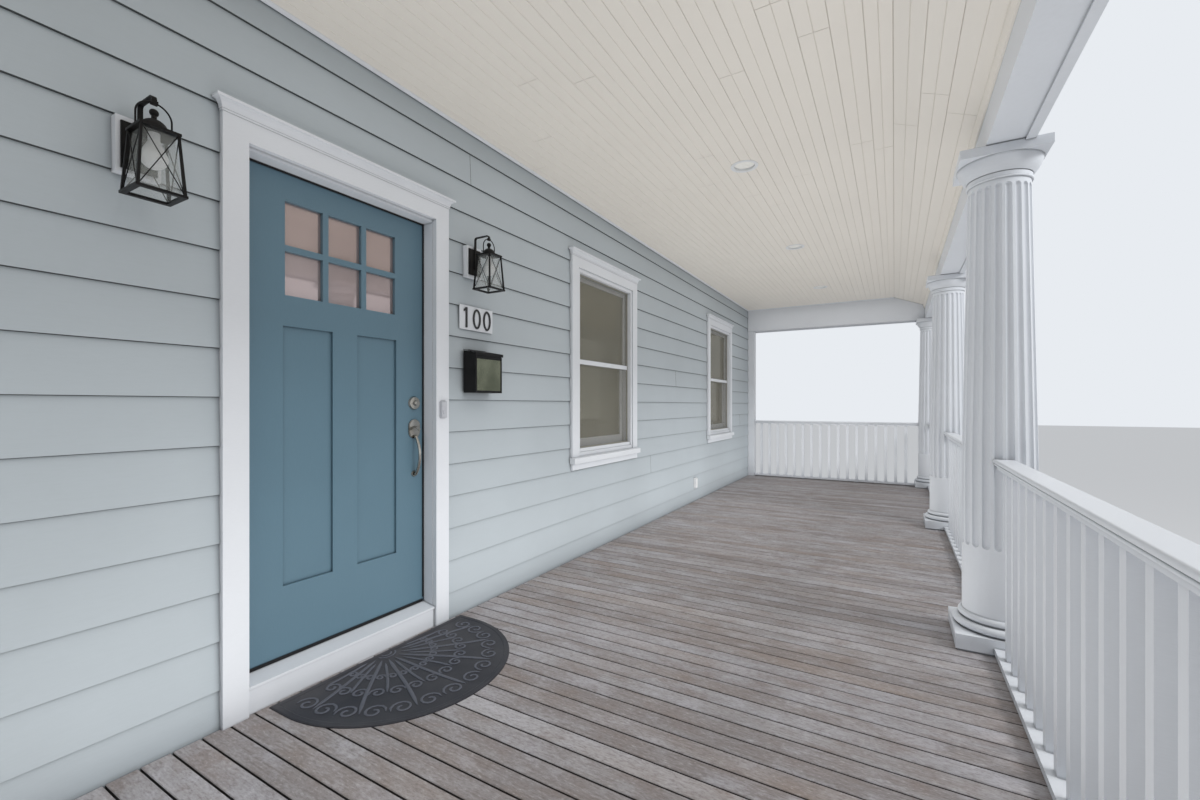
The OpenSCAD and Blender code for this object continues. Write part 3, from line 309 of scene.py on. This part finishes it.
def rubber():
    """Pitted black rubber: its raised relief is painted paler as a highlight, and dust lies on what faces
    up.
    """
    f = Finish("moulded_rubber", srgb(58, 58, 63), 0.62)
    pits = f.noise(scale=260, detail=3, rough=0.7)
    dust_and_shade = f.noise(scale=5, detail=5)
    up = f.ramp(f.facing("Z"), (0.6, 0.0), (1.0, 1.0))
    dusty = f.math("MULTIPLY", up, f.ramp(dust_and_shade, (0.35, 0.0), (0.75, 0.35)))
    low = f.ramp(pits, (0.3, srgb(38, 38, 43)), (0.7, srgb(58, 59, 66)))
    raised = f.ramp(pits, (0.3, srgb(72, 75, 84)), (0.7, srgb(104, 107, 118)))
    # Painted highlight: the raised relief above its level takes the paler colour
    ridge_highlight = f.math("MULTIPLY", f.attribute("tone"), f.math("GREATER_THAN", f.axis("Z"), MAT_HIGHLIGHT_Z))
    f.set("Base Color", f.mix(dusty, f.mix(ridge_highlight, low, raised), srgb(92, 91, 93)))
    f.set("Roughness", f.ramp(pits, (0.3, 0.5), (0.7, 0.75)))
    f.bump(pits, strength=0.7, distance=0.001)
    return f.mat


def metal(name, color, rough, tint):
    """Brushed and lightly worn metal, with a warmer tint in its patches and painted shade where it meets
    other parts.
    """
    f = Finish(name, color, rough)
    f.set("Metallic", 1.0)
    patches = f.noise(scale=28, detail=4)
    lines = f.noise(scale=120, stretch=(1, 1, 14), detail=3)
    tone = f.mix(f.ramp(patches, (0.4, 0.0), (0.7, 0.6)), color, tint)
    # Painted shade darkens the metal close to other surfaces
    f.set("Base Color", f.painted_corner_shade(tone, distance=0.03, depth=0.9))
    f.set("Roughness", f.ramp(lines, (0.3, rough - 0.06), (0.7, rough + 0.12)))
    f.bump(lines, strength=0.05, distance=0.0003)
    return f.mat


def black_coat():
    """Black powder coat with a fine orange peel."""
    f = Finish("black_coat", srgb(18, 18, 19), 0.45)
    f.set("Specular IOR Level", 0.22)
    peel = f.noise(scale=380, detail=2)
    dust_and_shade = f.noise(scale=14, detail=4)
    f.set("Base Color", f.ramp(dust_and_shade, (0.35, srgb(14, 14, 15)), (0.75, srgb(27, 26, 26))))
    f.set("Roughness", f.ramp(dust_and_shade, (0.3, 0.34), (0.7, 0.5)))
    f.bump(peel, strength=0.25, distance=0.0004)
    return f.mat


def pane(name, low, high, mirror):
    """Glass before a dim room: it mirrors the porch and keeps a tone of its own."""
    f = Finish(name, low, 0.03)
    f.set("Metallic", mirror)
    clouds = f.noise(scale=1.4, detail=3, rough=0.5)
    f.set("Base Color", f.ramp(clouds, (0.35, low), (0.65, high)))
    f.set("Roughness", f.ramp(clouds, (0.4, 0.02), (0.8, 0.05)))
    f.bump(f.noise(scale=1.6, detail=1), strength=0.05, distance=0.004)
    return f.mat


def seeded_glass():
    """Thin old glass, nearly clear, with a few seeds in it."""
    f = Finish("seeded_glass", srgb(206, 210, 206), 0.04)
    f.set("Alpha", 0.14)
    f.set("Specular IOR Level", 0.9)
    cells = f.add("ShaderNodeTexVoronoi")
    cells.inputs["Scale"].default_value = 110
    f.join(f.coord, cells.inputs["Vector"])
    seeds = cells.outputs["Distance"]
    f.set("Base Color", f.ramp(seeds, (0.05, srgb(236, 238, 236)), (0.3, srgb(196, 201, 198))))
    f.bump(f.ramp(seeds, (0.05, 1.0), (0.3, 0.0)), strength=0.12, distance=0.001)
    return f.mat


def insect_mesh():
    """Fine insect mesh, mostly seen through."""
    f = Finish("insect_mesh", srgb(136, 134, 124), 0.7)
    f.set("Alpha", 0.28)
    weave = f.noise(scale=300, detail=2)
    f.set("Base Color", f.ramp(weave, (0.35, srgb(124, 122, 112)), (0.65, srgb(148, 146, 136))))
    f.bump(weave, strength=0.3, distance=0.0004)
    return f.mat


def glossy_black():
    """Baked dark enamel that mirrors its surroundings softly."""
    f = Finish("black_enamel", srgb(96, 100, 84), 0.14)
    f.set("Metallic", 0.7)
    haze = f.noise(scale=9, detail=4)
    f.set("Base Color", f.ramp(haze, (0.35, srgb(84, 88, 72)), (0.75, srgb(116, 119, 101))))
    f.set("Roughness", f.ramp(haze, (0.3, 0.1), (0.7, 0.22)))
    f.bump(f.noise(scale=4, detail=1), strength=0.08, distance=0.003)
    return f.mat


def crown_paint():
    """White paint on the bead at the wall, and the ceiling's paint on the crown at the beam."""
    crown_reach = 0.08
    f = Finish("crown_paint", WHITE, 0.42)
    strokes = f.noise(scale=9, stretch=(2, 40, 40), detail=5)
    at_beam = f.math("LESS_THAN", f.axis("Y"), SLOPE_LOW.y + crown_reach)
    tone = f.mix(at_beam, WHITE, WARM_WHITE)
    f.set("Base Color", f.mix(f.ramp(strokes, (0.3, 0.12), (0.6, 0.0)), tone, shade(WARM_WHITE, 0.75)))
    f.bump(strokes, strength=0.1, distance=0.001)
    return f.mat


# One finish for each material slot of the solids
FINISHES = {
    "masonry": concrete(),
    "framing_timber": paint("sawn_timber", srgb(178, 150, 116), 0.8, grain=(60, 6, 60), dirt=0.2),
    "deck_boards": deck_wood(),
    "siding_paint": siding_paint(),
    "ceiling_paint": paint("ceiling_paint", WARM_WHITE, 0.45, grain=(3, 40, 40), dirt=0.03, corner_shade=0.12),
    "white_trim": paint("white_paint", WHITE, 0.4),
    "shingles": shingle_granules(),
    "door_paint": paint("door_paint", TEAL, 0.36, grain=(60, 60, 6), dirt=0.08),
    "glass": pane("window_glass", srgb(132, 130, 114), srgb(154, 151, 134), mirror=0.55),
    "nickel": metal("satin_nickel", srgb(196, 193, 186), 0.16, tint=srgb(168, 160, 146)),
    "black_metal": black_coat(),
    "white_plastic": plain("white_plastic", srgb(226, 228, 230), 0.3),
    "rubber_mat": rubber(),
    "screen_mesh": insect_mesh(),
}

# Solids that look unlike the rest of their slot
SPECIAL = {
    "lantern_glass": seeded_glass(),
    "door_glass": pane("door_lites", srgb(174, 158, 156), srgb(190, 175, 173), mirror=0.6),
    "crown_trim": crown_paint(),
    "doorbell": plain("bell_plastic", srgb(184, 187, 194), 0.35),
}

# Finishes of pieces that are made here
ENAMEL = glossy_black()
# Black of the door's weatherstrip, painted shade of its gaps
SEAL_SHADE = plain("seal_painted_shade", srgb(22, 22, 24), 0.7)
CAULK = plain("dark_joint", srgb(70, 74, 72), 0.9)
LENS = plain("light_lens", srgb(244, 243, 238), 0.35)
NUMERAL = plain("numeral_black", srgb(34, 34, 36), 0.4)
SCREEN_FRAME = plain("screen_frame", srgb(146, 144, 134), 0.4)


def dress_solids():
    """Gives each solid of the frame its finish."""
    for row in frame["record"]["subparts"]:
        materials = frame["nodes"][row["node"]].data.materials
        materials.clear()
        materials.append(SPECIAL.get(row["node"], FINISHES[row["material_slot"]]))


class Shape:
    """Lofted solids gathered into one mesh, each face with the tone of its board."""

    def __init__(self):
        self.verts = []
        self.faces = []
        self.tones = []

    def loft(self, rings, tone=0.5):
        """A closed solid through rings of points that turn the same way."""
        start = len(self.verts)
        count = len(rings[0])
        for ring in rings:
            self.verts.extend(tuple(p) for p in ring)
        faces = [tuple(range(start + count - 1, start - 1, -1))]
        for r in range(len(rings) - 1):
            a = start + r * count
            b = a + count
            for i in range(count):
                j = (i + 1) % count
                faces.append((a + i, a + j, b + j, b + i))
        last = start + (len(rings) - 1) * count
        faces.append(tuple(range(last, last + count)))
        self.faces.extend(faces)
        self.tones.extend([tone] * len(faces))

    def block(self, low, high):
        """A block between two corners."""
        (x0, y0, z0), (x1, y1, z1) = low, high
        self.loft([[(x0, y0, z), (x1, y0, z), (x1, y1, z), (x0, y1, z)] for z in (z0, z1)])

    def along_x(self, section, x0, x1, tone=0.5):
        """A section of (y, z) points, counter-clockwise seen from +X, run along X."""
        self.loft([[(x, y, z) for y, z in section] for x in (x0, x1)], tone)

    def along_y(self, section, y0, y1, tone=0.5):
        """A section of (x, z) points, clockwise seen from +Y, run along Y."""
        self.loft([[(x, y, z) for x, z in section] for y in (y0, y1)], tone)

    def turned(self, centre, profile, steps):
        """A solid of revolution about a vertical axis, from (radius, z) points going up."""
        cx, cy = centre
        angles = [2 * math.pi * k / steps for k in range(steps)]
        self.loft([[(cx + r * math.cos(a), cy + r * math.sin(a), z) for a in angles] for r, z in profile])

    def rib(self, path, width, base, height, tone):
        """A raised rounded rib that follows a flat path, narrower at its top, and slimmer and lower
        at its ends."""
        # Across the rib: side as a share of half its width, height as a share of the whole
        section = ((1, 0), (0.8, 0.7), (0.35, 1), (-0.35, 1), (-0.8, 0.7), (-1, 0))
        end_width = 0.35
        end_height = 0.5
        rings = []
        last = len(path) - 1
        for i, (x, y) in enumerate(path):
            ahead = path[min(i + 1, last)]
            behind = path[max(i - 1, 0)]
            run = Vector((ahead[0] - behind[0], ahead[1] - behind[1])).normalized()
            side = Vector((-run.y, run.x))
            at_end = i in (0, last)
            half = width * (end_width if at_end else 1.0) / 2
            rise = height * (end_height if at_end else 1.0)
            rings.append([(x + side.x * s * half, y + side.y * s * half, base + h * rise)
                          for s, h in section])
        self.loft(rings, tone)

    def make(self, name, finish, slot, replaces=()):
        """The object, which rides with the porch and may stand in for solids of the frame."""
        mesh = bpy.data.meshes.new(name)
        mesh.from_pydata(self.verts, [], self.faces)
        tone = mesh.attributes.new("tone", "FLOAT", "FACE")
        tone.data.foreach_set("value", self.tones)
        mesh.materials.append(finish)
        obj = bpy.data.objects.new(name, mesh)
        bpy.context.scene.collection.objects.link(obj)
        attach(obj, PORCH)
        if replaces:
            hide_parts(*replaces)
        return obj


def cut_away(obj, shape):
    """Cuts the shape out of the object's mesh."""
    mesh = bpy.data.meshes.new("cutter")
    mesh.from_pydata(shape.verts, [], shape.faces)
    cutter = bpy.data.objects.new("cutter", mesh)
    bpy.context.scene.collection.objects.link(cutter)
    cut = obj.modifiers.new("cut", "BOOLEAN")
    cut.operation = "DIFFERENCE"
    cut.solver = "EXACT"
    cut.object = cutter
    graph = bpy.context.evaluated_depsgraph_get()
    result = bpy.data.meshes.new_from_object(obj.evaluated_get(graph))
    obj.modifiers.clear()
    obj.data = result
    bpy.data.objects.remove(cutter)
    bpy.data.meshes.remove(mesh)


def deck_boards():
    """Narrow boards across the porch with open gaps and eased edges, not quite level or flush."""
    about = 0.086
    gap = 0.0064
    ease = 0.0022
    level_play = 0.0006
    front_play = 0.0015
    wall_gap = 0.001
    length = DECK_HIGH.x - DECK_LOW.x
    count = round(length / about)
    pitch = length / count
    shape = Shape()
    for i in range(count):
        x0 = DECK_LOW.x + i * pitch + gap / 2
        x1 = x0 + pitch - gap
        top = DECK_Z - RNG.uniform(0, level_play)
        section = [(x0, DECK_LOW.z), (x0, top - ease), (x0 + ease, top),
                   (x1 - ease, top), (x1, top - ease), (x1, DECK_LOW.z)]
        front = DECK_LOW.y + RNG.uniform(0, front_play)
        shape.along_y(section, front, DECK_HIGH.y - wall_gap, RNG.random())
    shape.make("deck_boards", FINISHES["deck_boards"], "deck_boards", ("deck_floor",))


def board_edges(pitch, slope):
    """Edges of the ceiling boards from the wall to the beam, with one where the ceiling bends."""
    narrowest = 0.03
    bend = CEILING_LOW.y
    edges = []
    y = WALL_Y
    while y > bend + narrowest:
        edges.append(y)
        y -= pitch
    edges.append(bend)
    step = pitch * math.cos(math.atan(slope))
    y = bend
    while y - step > SLOPE_LOW.y + narrowest:
        y -= step
        edges.append(y)
    edges.append(SLOPE_LOW.y)
    return edges


def bead_section(y0, y1, tilt, thick):
    """A ceiling board with a V at its edges and the same groove along its middle."""
    depth = 0.0030
    half = 0.0024
    mid = (y0 + y1) / 2

    def at(y, lift=0.0):
        return (y, CEILING_LOW.z + (y - CEILING_LOW.y) * tilt + lift)

    return [at(y0, thick), at(y1, thick), at(y1, depth), at(y1 + half), at(mid - half), at(mid, depth),
            at(mid + half), at(y0 - half), at(y0, depth)]


def ceiling_boards():
    """Beaded boards along the porch, on the flat ceiling and on the strip that slopes to the beam."""
    pitch = 0.126
    thick = 0.0095
    side_gap = 0.0003
    end_gap = 0.0013
    length = 3.66
    joints_per_row = 3
    first_joint = (0.6, 3.6)
    shortest = 0.2
    # Butt joints of some rows, counted from the wall; the other rows take random ones
    joints = {11: (-0.752, 2.93), 14: (-0.854, -4.51, 2.80), 17: (0.125, 3.78, -3.53), 18: (-0.22, -3.87)}
    x0, x1 = CEILING_LOW.x, CEILING_HIGH.x
    bend = CEILING_LOW.y
    slope = (SLOPE_HIGH.z - CEILING_HIGH.z + CEILING_LOW.z - SLOPE_LOW.z) / (SLOPE_HIGH.y - SLOPE_LOW.y)
    shape = Shape()
    edges = board_edges(pitch, slope)
    for i, (y_high, y_low) in enumerate(zip(edges, edges[1:])):
        tilt = 0.0 if y_high > bend else slope
        section = bead_section(y_high - side_gap, y_low + side_gap, tilt, thick)
        seams = joints.get(i)
        if seams is None:
            first = RNG.uniform(x0 + first_joint[0], x0 + first_joint[1])
            seams = [first + length * k for k in range(joints_per_row)]
        cuts = [x0] + sorted(s for s in seams if x0 + shortest < s < x1 - shortest) + [x1]
        for a, b in zip(cuts, cuts[1:]):
            shape.along_x(section, a + end_gap, b - end_gap, RNG.random())
    ceiling_backing(shape, thick)
    boards = shape.make("ceiling_boards", FINISHES["ceiling_paint"], "ceiling_paint",
                        ("ceiling_flat", "ceiling_slope"))
    holes = Shape()
    hole_radius = 0.076
    past_face = 0.05
    for x in LIGHT_X:
        profile = [(hole_radius, CEILING_LOW.z + side * past_face) for side in (-1, 1)]
        holes.turned((x, LIGHT_Y), profile, steps=48)
    cut_away(boards, holes)


def ceiling_backing(shape, thick):
    """Thin sheets just above the ceiling boards, which close the gaps between them."""
    gap = 0.0008
    sheet = 0.0012
    clearance = 0.001
    bend = CEILING_LOW.y
    flat = CEILING_LOW.z + thick + gap
    at_beam = SLOPE_LOW.z + thick + gap
    for (ya, za), (yb, zb) in (((bend, flat), (WALL_Y, flat)),
                               ((SLOPE_LOW.y, at_beam), (bend - clearance, flat))):
        section = [(ya, za + sheet), (ya, za), (yb, zb), (yb, zb + sheet)]
        shape.along_x(section, CEILING_LOW.x, CEILING_HIGH.x)


def shingles():
    """Courses of laminated shingles from the eave up to the wall."""
    exposure = 0.143
    base = 0.005
    base_tone = 0.1
    sunk = 0.001
    butt = 0.006
    thicker = 0.003
    widths = (0.16, 0.34)
    slot = 0.004
    narrowest = 0.01
    start_play = 0.2
    top_room = 0.016
    x0, x1 = ROOF_LOW.x, ROOF_HIGH.x
    y0, y1 = ROOF_LOW.y, ROOF_HIGH.y
    rise = (ROOF_HIGH.z - top_room - ROOF_LOW.z) / (y1 - y0)

    def at(y, lift):
        return (y, ROOF_LOW.z + (y - y0) * rise + lift)

    shape = Shape()
    shape.along_x([at(y0, 0), at(y1, 0), at(y1, base), at(y0, base)], x0, x1, base_tone)
    step = exposure * math.cos(math.atan(rise))
    y = y0
    while y < y1 - narrowest:
        upper = min(y + step, y1)
        x = x0 - RNG.uniform(0, start_play)
        while x < x1:
            width = RNG.uniform(*widths)
            a, b = max(x, x0), min(x + width - slot, x1)
            if b - a > narrowest:
                lift = base + butt + RNG.choice((0.0, 0.0, thicker))
                section = [at(y, base - sunk), at(upper, base - sunk), at(upper, base + sunk), at(y, lift)]
                shape.along_x(section, a, b, RNG.random())
            x += width
        y += step
    shape.make("shingles", FINISHES["shingles"], "shingles", ("roof_covering",))


def siding_joints():
    """Butt joints between lengths of siding, as fine dark lines on the courses."""
    # Place along the wall, and the course counted from the deck
    places = ((-0.995, 13), (1.528, 2), (-5.02, 5), (-4.41, 9), (-3.36, 1), (-5.18, 12),
              (2.21, 7), (4.95, 4))
    width = 0.0022
    thick = 0.002
    step_out = 0.009
    proud_low = 0.0004
    proud_high = 0.0006
    above_step = 0.001
    shorter = 0.003
    shape = Shape()
    for x, course in places:
        z0 = FIRST_COURSE + course * COURSE + above_step
        z1 = z0 + COURSE - shorter
        y0 = WALL_Y - proud_low
        y1 = WALL_Y + step_out - proud_high
        section = [(y0, z0), (y0 + thick, z0), (y1 + thick, z1), (y1, z1)]
        shape.along_x(section, x - width / 2, x + width / 2)
    shape.make("siding_joints", CAULK, "siding_paint")


def arc(cx, cy, radius, start, end, steps):
    """Points on an arc between two angles."""
    angles = [start + (end - start) * k / steps for k in range(steps + 1)]
    return [(cx + radius * math.cos(a), cy + radius * math.sin(a)) for a in angles]


def spiral(cx, cy, size, start, hand):
    """Points of a scroll that winds in to its centre."""
    turns = 1.35
    shrink = 0.82
    steps = 16
    points = []
    for i in range(steps + 1):
        share = i / steps
        r = size * (1 - shrink * share)
        a = start + hand * turns * 2 * math.pi * share
        points.append((cx + r * math.cos(a), cy + r * math.sin(a)))
    return points


class Mat:
    """A half-round rubber mat, whose relief fans out from a hub near the middle of its straight side."""

    RAYS = 15
    # Face tones: the raised relief gets the tone that the rubber finish paints paler as a highlight
    FLAT_TONE = 0.0
    RAISED_TONE = 1.0

    def __init__(self):
        low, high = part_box("doormat")
        self.shape = Shape()
        self.foot = low.z
        self.field = low.z + 0.005
        self.root = self.field - 0.001
        self.back = high.y
        self.radius = (high.x - low.x) / 2
        self.straight = high.y - low.y - self.radius
        self.cx = (low.x + high.x) / 2
        self.hub_y = self.back - 0.02

    def place(self, angle, distance):
        """A point on the mat, seen from its hub."""
        return (self.cx + distance * math.cos(angle), self.hub_y + distance * math.sin(angle))

    def rim(self):
        """The mat's body: its edge, the raised rim, and the field inside."""
        lip = self.field + 0.002
        # From the foot over the rim to the field: how far in from the edge, and how high
        profile = ((0.0, self.foot), (0.0, self.foot + 0.004), (0.004, lip), (0.022, lip),
                   (0.027, self.field - 0.0005))
        rings = []
        for inset, z in profile:
            r = self.radius - inset
            side = self.back - inset
            front = arc(self.cx, self.back - self.straight, r, math.pi, 2 * math.pi, 64)
            outline = [(self.cx - r, side)] + front + [(self.cx + r, side)]
            rings.append([(x, y, z) for x, y in outline])
        self.shape.loft(rings, self.FLAT_TONE)

    def rays(self):
        """Long and short rays by turns, each bent a little."""
        # Start of a ray, its end as a share of the reach, and its width
        short_ray = (0.10, 0.66, 0.014)
        long_ray = (0.07, 0.93, 0.018)
        height = 0.0045
        bend = 0.02
        steps = 8
        edge_room = 0.05
        straight_share = 0.9
        for k in range(self.RAYS):
            a = math.pi + math.pi * (k + 0.5) / self.RAYS
            reach = self.radius - edge_room + self.straight * abs(math.sin(a)) * straight_share
            inner, share, width = long_ray if k % 2 else short_ray
            outer = reach * share
            hand = 1 if k % 4 < 2 else -1
            path = []
            for i in range(steps + 1):
                bent = a + hand * bend * math.sin(math.pi * i / steps)
                path.append(self.place(bent, inner + (outer - inner) * i / steps))
            self.shape.rib(path, width, self.root, height, self.RAISED_TONE)

    def scrolls(self):
        """Three scrolls between each two rays."""
        # Share of the reach, size and hand
        row = ((0.86, 0.046, 1), (0.62, 0.034, -1), (0.40, 0.022, 1))
        width = 0.012
        height = 0.0042
        start = 1.3
        edge_room = 0.03
        for k in range(1, self.RAYS):
            a = math.pi + math.pi * k / self.RAYS
            reach = self.radius + self.straight * abs(math.sin(a)) - edge_room
            for share, size, hand in row:
                turn = -hand if k % 2 else hand
                x, y = self.place(a, share * reach)
                scroll = spiral(x, y, size, a + start * turn, turn)
                self.shape.rib(scroll, width, self.root, height, self.RAISED_TONE)

    def hub(self):
        """Two arcs round the hub."""
        radii = (0.045, 0.026)
        width = 0.009
        height = 0.004
        first, last = math.pi * 1.06, math.pi * 1.94
        for r in radii:
            path = arc(self.cx, self.hub_y, r, first, last, 16)
            self.shape.rib(path, width, self.root, height, self.RAISED_TONE)


def doormat():
    """The doormat with its relief, in place of the plain solid."""
    mat = Mat()
    mat.rim()
    mat.rays()
    mat.scrolls()
    mat.hub()
    mat.shape.make("doormat_relief", FINISHES["rubber_mat"], "rubber_mat", ("doormat",))


def mailbox_panel():
    """The glossy front panel of the mailbox, inside its raised rim."""
    rim = 0.012
    below_lid = 0.020
    front, back = 0.0012, 0.004
    low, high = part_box("mailbox_body")
    lid_low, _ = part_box("mailbox_lid")
    shape = Shape()
    shape.block((low.x + rim, low.y + front, low.z + rim),
                (high.x - rim, low.y + back, lid_low.z - below_lid))
    shape.make("mailbox_panel", ENAMEL, "black_metal")


def door_seal_shade():
    """Black weatherstrip in the gap between the stops and the face of the closed leaf, made black as painted
    shade of that gap.
    """
    far, near = 0.0044, 0.0012
    reach = 0.014
    past_edge = 0.003
    foot = 0.02
    below, above = 0.004, 0.009
    low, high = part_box("front_door")
    y0, y1 = low.y - far, low.y - near
    top = high.z + past_edge
    x0, x1 = low.x + reach, high.x - reach
    shape = Shape()
    shape.block((low.x - past_edge, y0, low.z + foot), (x0, y1, top))
    shape.block((x1, y0, low.z + foot), (high.x + past_edge, y1, top))
    shape.block((x0, y0, high.z - reach), (x1, y1, top))
    shape.block((x0, y0, low.z - below), (x1, y1, low.z + above))
    shape.make("door_seal_shade", SEAL_SHADE, "rubber_mat")


def number_digits():
    """Plain numerals 1 0 0 on the plaque."""
    tall, wide, stroke = 0.115, 0.062, 0.0115
    proud, sunk = 0.005, 0.001
    flag, nib, corner = 0.014, 0.012, 0.002
    # Stroke of a nought as a share of the upright's, at its sides and at its ends
    side_share, end_share = 0.95, 0.9
    steps = 28
    one_at = -0.085
    noughts_at = (-0.002, 0.083)
    low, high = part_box("house_number_plaque")
    mid_x, mid_z = (low.x + high.x) / 2, (low.z + high.z) / 2
    shape = Shape()

    def plate(points):
        shape.loft([[(x, y, z) for x, z in points] for y in (low.y - proud, low.y + sunk)])

    x = mid_x + one_at - stroke / 2
    z0, z1 = mid_z - tall / 2, mid_z + tall / 2
    plate([(x, z0), (x + stroke, z0), (x + stroke, z1), (x + corner, z1),
           (x - flag, z1 - flag), (x - flag, z1 - flag - nib), (x, z1 - flag)])
    for place in noughts_at:
        for k in range(steps):
            quad = []
            for step, inset in ((k, 0), (k + 1, 0), (k + 1, stroke), (k, stroke)):
                a = 2 * math.pi * step / steps
                quad.append((mid_x + place + (wide / 2 - inset * side_share) * math.cos(a),
                             mid_z + (tall / 2 - inset * end_share) * math.sin(a)))
            plate(quad)
    shape.make("number_digits", NUMERAL, "black_metal")


def light_lenses():
    """Frosted lenses, domed a little, set up in the ceiling lights."""
    # Radius, and height above the face of the ceiling
    profile = ((0.0005, 0.008), (0.02, 0.0082), (0.045, 0.009), (0.060, 0.0105),
               (0.0655, 0.0125), (0.0655, 0.019))
    shape = Shape()
    for x in LIGHT_X:
        shape.turned((x, LIGHT_Y), [(r, CEILING_LOW.z + lift) for r, lift in profile], steps=40)
    shape.make("light_lenses", LENS, "white_plastic")


def window_screens():
    """Insect screens over the whole window: slim frames, mesh and a crossbar before the meeting rails."""
    width = 0.88
    clearance = 0.0005
    member = 0.010
    top_gap = 0.001
    mesh_back, mesh_thick = 0.0037, 0.0006
    low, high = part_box("window_screens")
    y0, y1 = low.y, high.y
    z0, z1 = low.z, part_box("window_sashes")[1].z - top_gap
    bar_low, bar_high = high.z - 0.004, high.z + 0.032
    mesh_y = y0 + mesh_back
    frames = Shape()
    bars = Shape()
    cloth = Shape()
    for left in (low.x, high.x - width):
        x0, x1 = left + clearance, left + width - clearance
        inner0, inner1 = x0 + member, x1 - member
        frames.block((x0, y0, z0), (inner0, y1, z1))
        frames.block((inner1, y0, z0), (x1, y1, z1))
        frames.block((inner0, y0, z0), (inner1, y1, z0 + member))
        frames.block((inner0, y0, z1 - member), (inner1, y1, z1))
        bars.block((inner0, y0, bar_low), (inner1, y1, bar_high))
        for a, b in ((z0 + member, bar_low), (bar_high, z1 - member)):
            cloth.block((inner0, mesh_y, a), (inner1, mesh_y + mesh_thick, b))
    frames.make("screen_frames", SCREEN_FRAME, "white_trim", ("window_screens",))
    bars.make("screen_bars", FINISHES["white_trim"], "white_trim")
    cloth.make("screen_cloth", FINISHES["screen_mesh"], "screen_mesh")


def floor_and_backdrop():
    """A plain pale floor that keeps the porch's shadow."""
    reach = 60
    glow_share = 0.6
    mesh = bpy.data.meshes.new("floor")
    corner_shade = [(-reach, -reach, 0), (reach, -reach, 0), (reach, reach, 0), (-reach, reach, 0)]
    mesh.from_pydata(corner_shade, [], [(0, 1, 2, 3)])
    floor = bpy.data.objects.new("floor", mesh)
    bpy.context.scene.collection.objects.link(floor)
    f = Finish("floor", srgb(212, 213, 214), 0.9)
    glow = f.add("ShaderNodeEmission")
    glow.inputs["Color"].default_value = srgb(218, 221, 225)
    blend = f.add("ShaderNodeMixShader")
    seen = f.add("ShaderNodeLightPath").outputs["Is Camera Ray"]
    f.join(f.math("MULTIPLY", seen, glow_share), blend.inputs["Fac"])
    f.join(f.shader.outputs["BSDF"], blend.inputs[1])
    f.join(glow.outputs["Emission"], blend.inputs[2])
    f.join(blend.outputs["Shader"], f.tree.nodes["Material Output"].inputs["Surface"])
    mesh.materials.append(f.mat)


def studio_world():
    """Even white light from all around; camera, gloss and glass see a pale backdrop in its place."""
    world = bpy.data.worlds.new("studio")
    bpy.context.scene.world = world
    world.use_nodes = True
    nodes, links = world.node_tree.nodes, world.node_tree.links
    light = nodes["Background"]
    light.inputs["Color"].default_value = (1, 1, 1, 1)
    light.inputs["Strength"].default_value = 0.35
    backdrop = nodes.new("ShaderNodeBackground")
    backdrop.inputs["Color"].default_value = srgb(232, 236, 241)
    backdrop.inputs["Strength"].default_value = 1.0
    path = nodes.new("ShaderNodeLightPath")
    pick = nodes.new("ShaderNodeMixShader")
    ray = path.outputs["Is Camera Ray"]
    for other in ("Is Glossy Ray", "Is Transmission Ray"):
        either = nodes.new("ShaderNodeMath")
        either.operation = "MAXIMUM"
        links.new(ray, either.inputs[0])
        links.new(path.outputs[other], either.inputs[1])
        ray = either.outputs["Value"]
    links.new(ray, pick.inputs["Fac"])
    links.new(light.outputs["Background"], pick.inputs[1])
    links.new(backdrop.outputs["Background"], pick.inputs[2])
    links.new(pick.outputs["Shader"], nodes["World Output"].inputs["Surface"])


def area_light(name, place, target, size, power, color=(1, 1, 1)):
    """A soft rectangular lamp that no camera or mirror sees."""
    data = bpy.data.lights.new(name, "AREA")
    data.shape = "RECTANGLE"
    data.size, data.size_y = size
    data.energy = power
    data.color = color
    lamp = bpy.data.objects.new(name, data)
    bpy.context.scene.collection.objects.link(lamp)
    lamp.location = place
    lamp.rotation_euler = (Vector(target) - Vector(place)).to_track_quat("-Z", "Y").to_euler()
    lamp.visible_camera = False
    lamp.visible_glossy = False


def lights():
    """A key from the front, and light as it comes back from the ceiling and from the deck."""
    studio_world()
    area_light("key", (-1.0, -7.6, 6.4), target=(0, 0, 1.2), size=(4.5, 2.5), power=530)
    area_light("ceiling_bounce", (0, 0.1, CEILING_LOW.z - 0.04), target=(0, 0.1, 0),
               size=(10.6, 2.0), power=30, color=(1.0, 0.99, 0.98))
    area_light("fill", (0, 0.07, DECK_Z + 0.03), target=(0, 0.12, 4),
               size=(10.6, 2.2), power=82, color=(1.0, 0.985, 0.96))


def camera():
    """The photograph's viewpoint: eye level, turned 30 degrees from the porch's length to the wall."""
    image_width_px = 1200
    horizon_shift_px = 5
    eye_x = -3.18
    eye_from_wall = 2.125
    eye_height = 1.18
    turn = 30
    data = bpy.data.cameras.new("photo_view")
    cam = bpy.data.objects.new("photo_view", data)
    bpy.context.scene.collection.objects.link(cam)
    data.sensor_width = 36
    data.lens = 15.3
    data.shift_y = horizon_shift_px / image_width_px
    data.clip_start = 0.02
    cam.location = (eye_x, WALL_Y - eye_from_wall, DECK_Z + eye_height)
    cam.rotation_euler = (math.radians(90), 0, math.radians(turn - 90))
    bpy.context.scene.camera = cam


dress_solids()
floor_and_backdrop()
lights()
camera()
bpy.context.scene.view_settings.view_transform = "Standard"
deck_boards()
ceiling_boards()
shingles()
siding_joints()
doormat()
mailbox_panel()
door_seal_shade()
number_digits()
light_lenses()
window_screens()
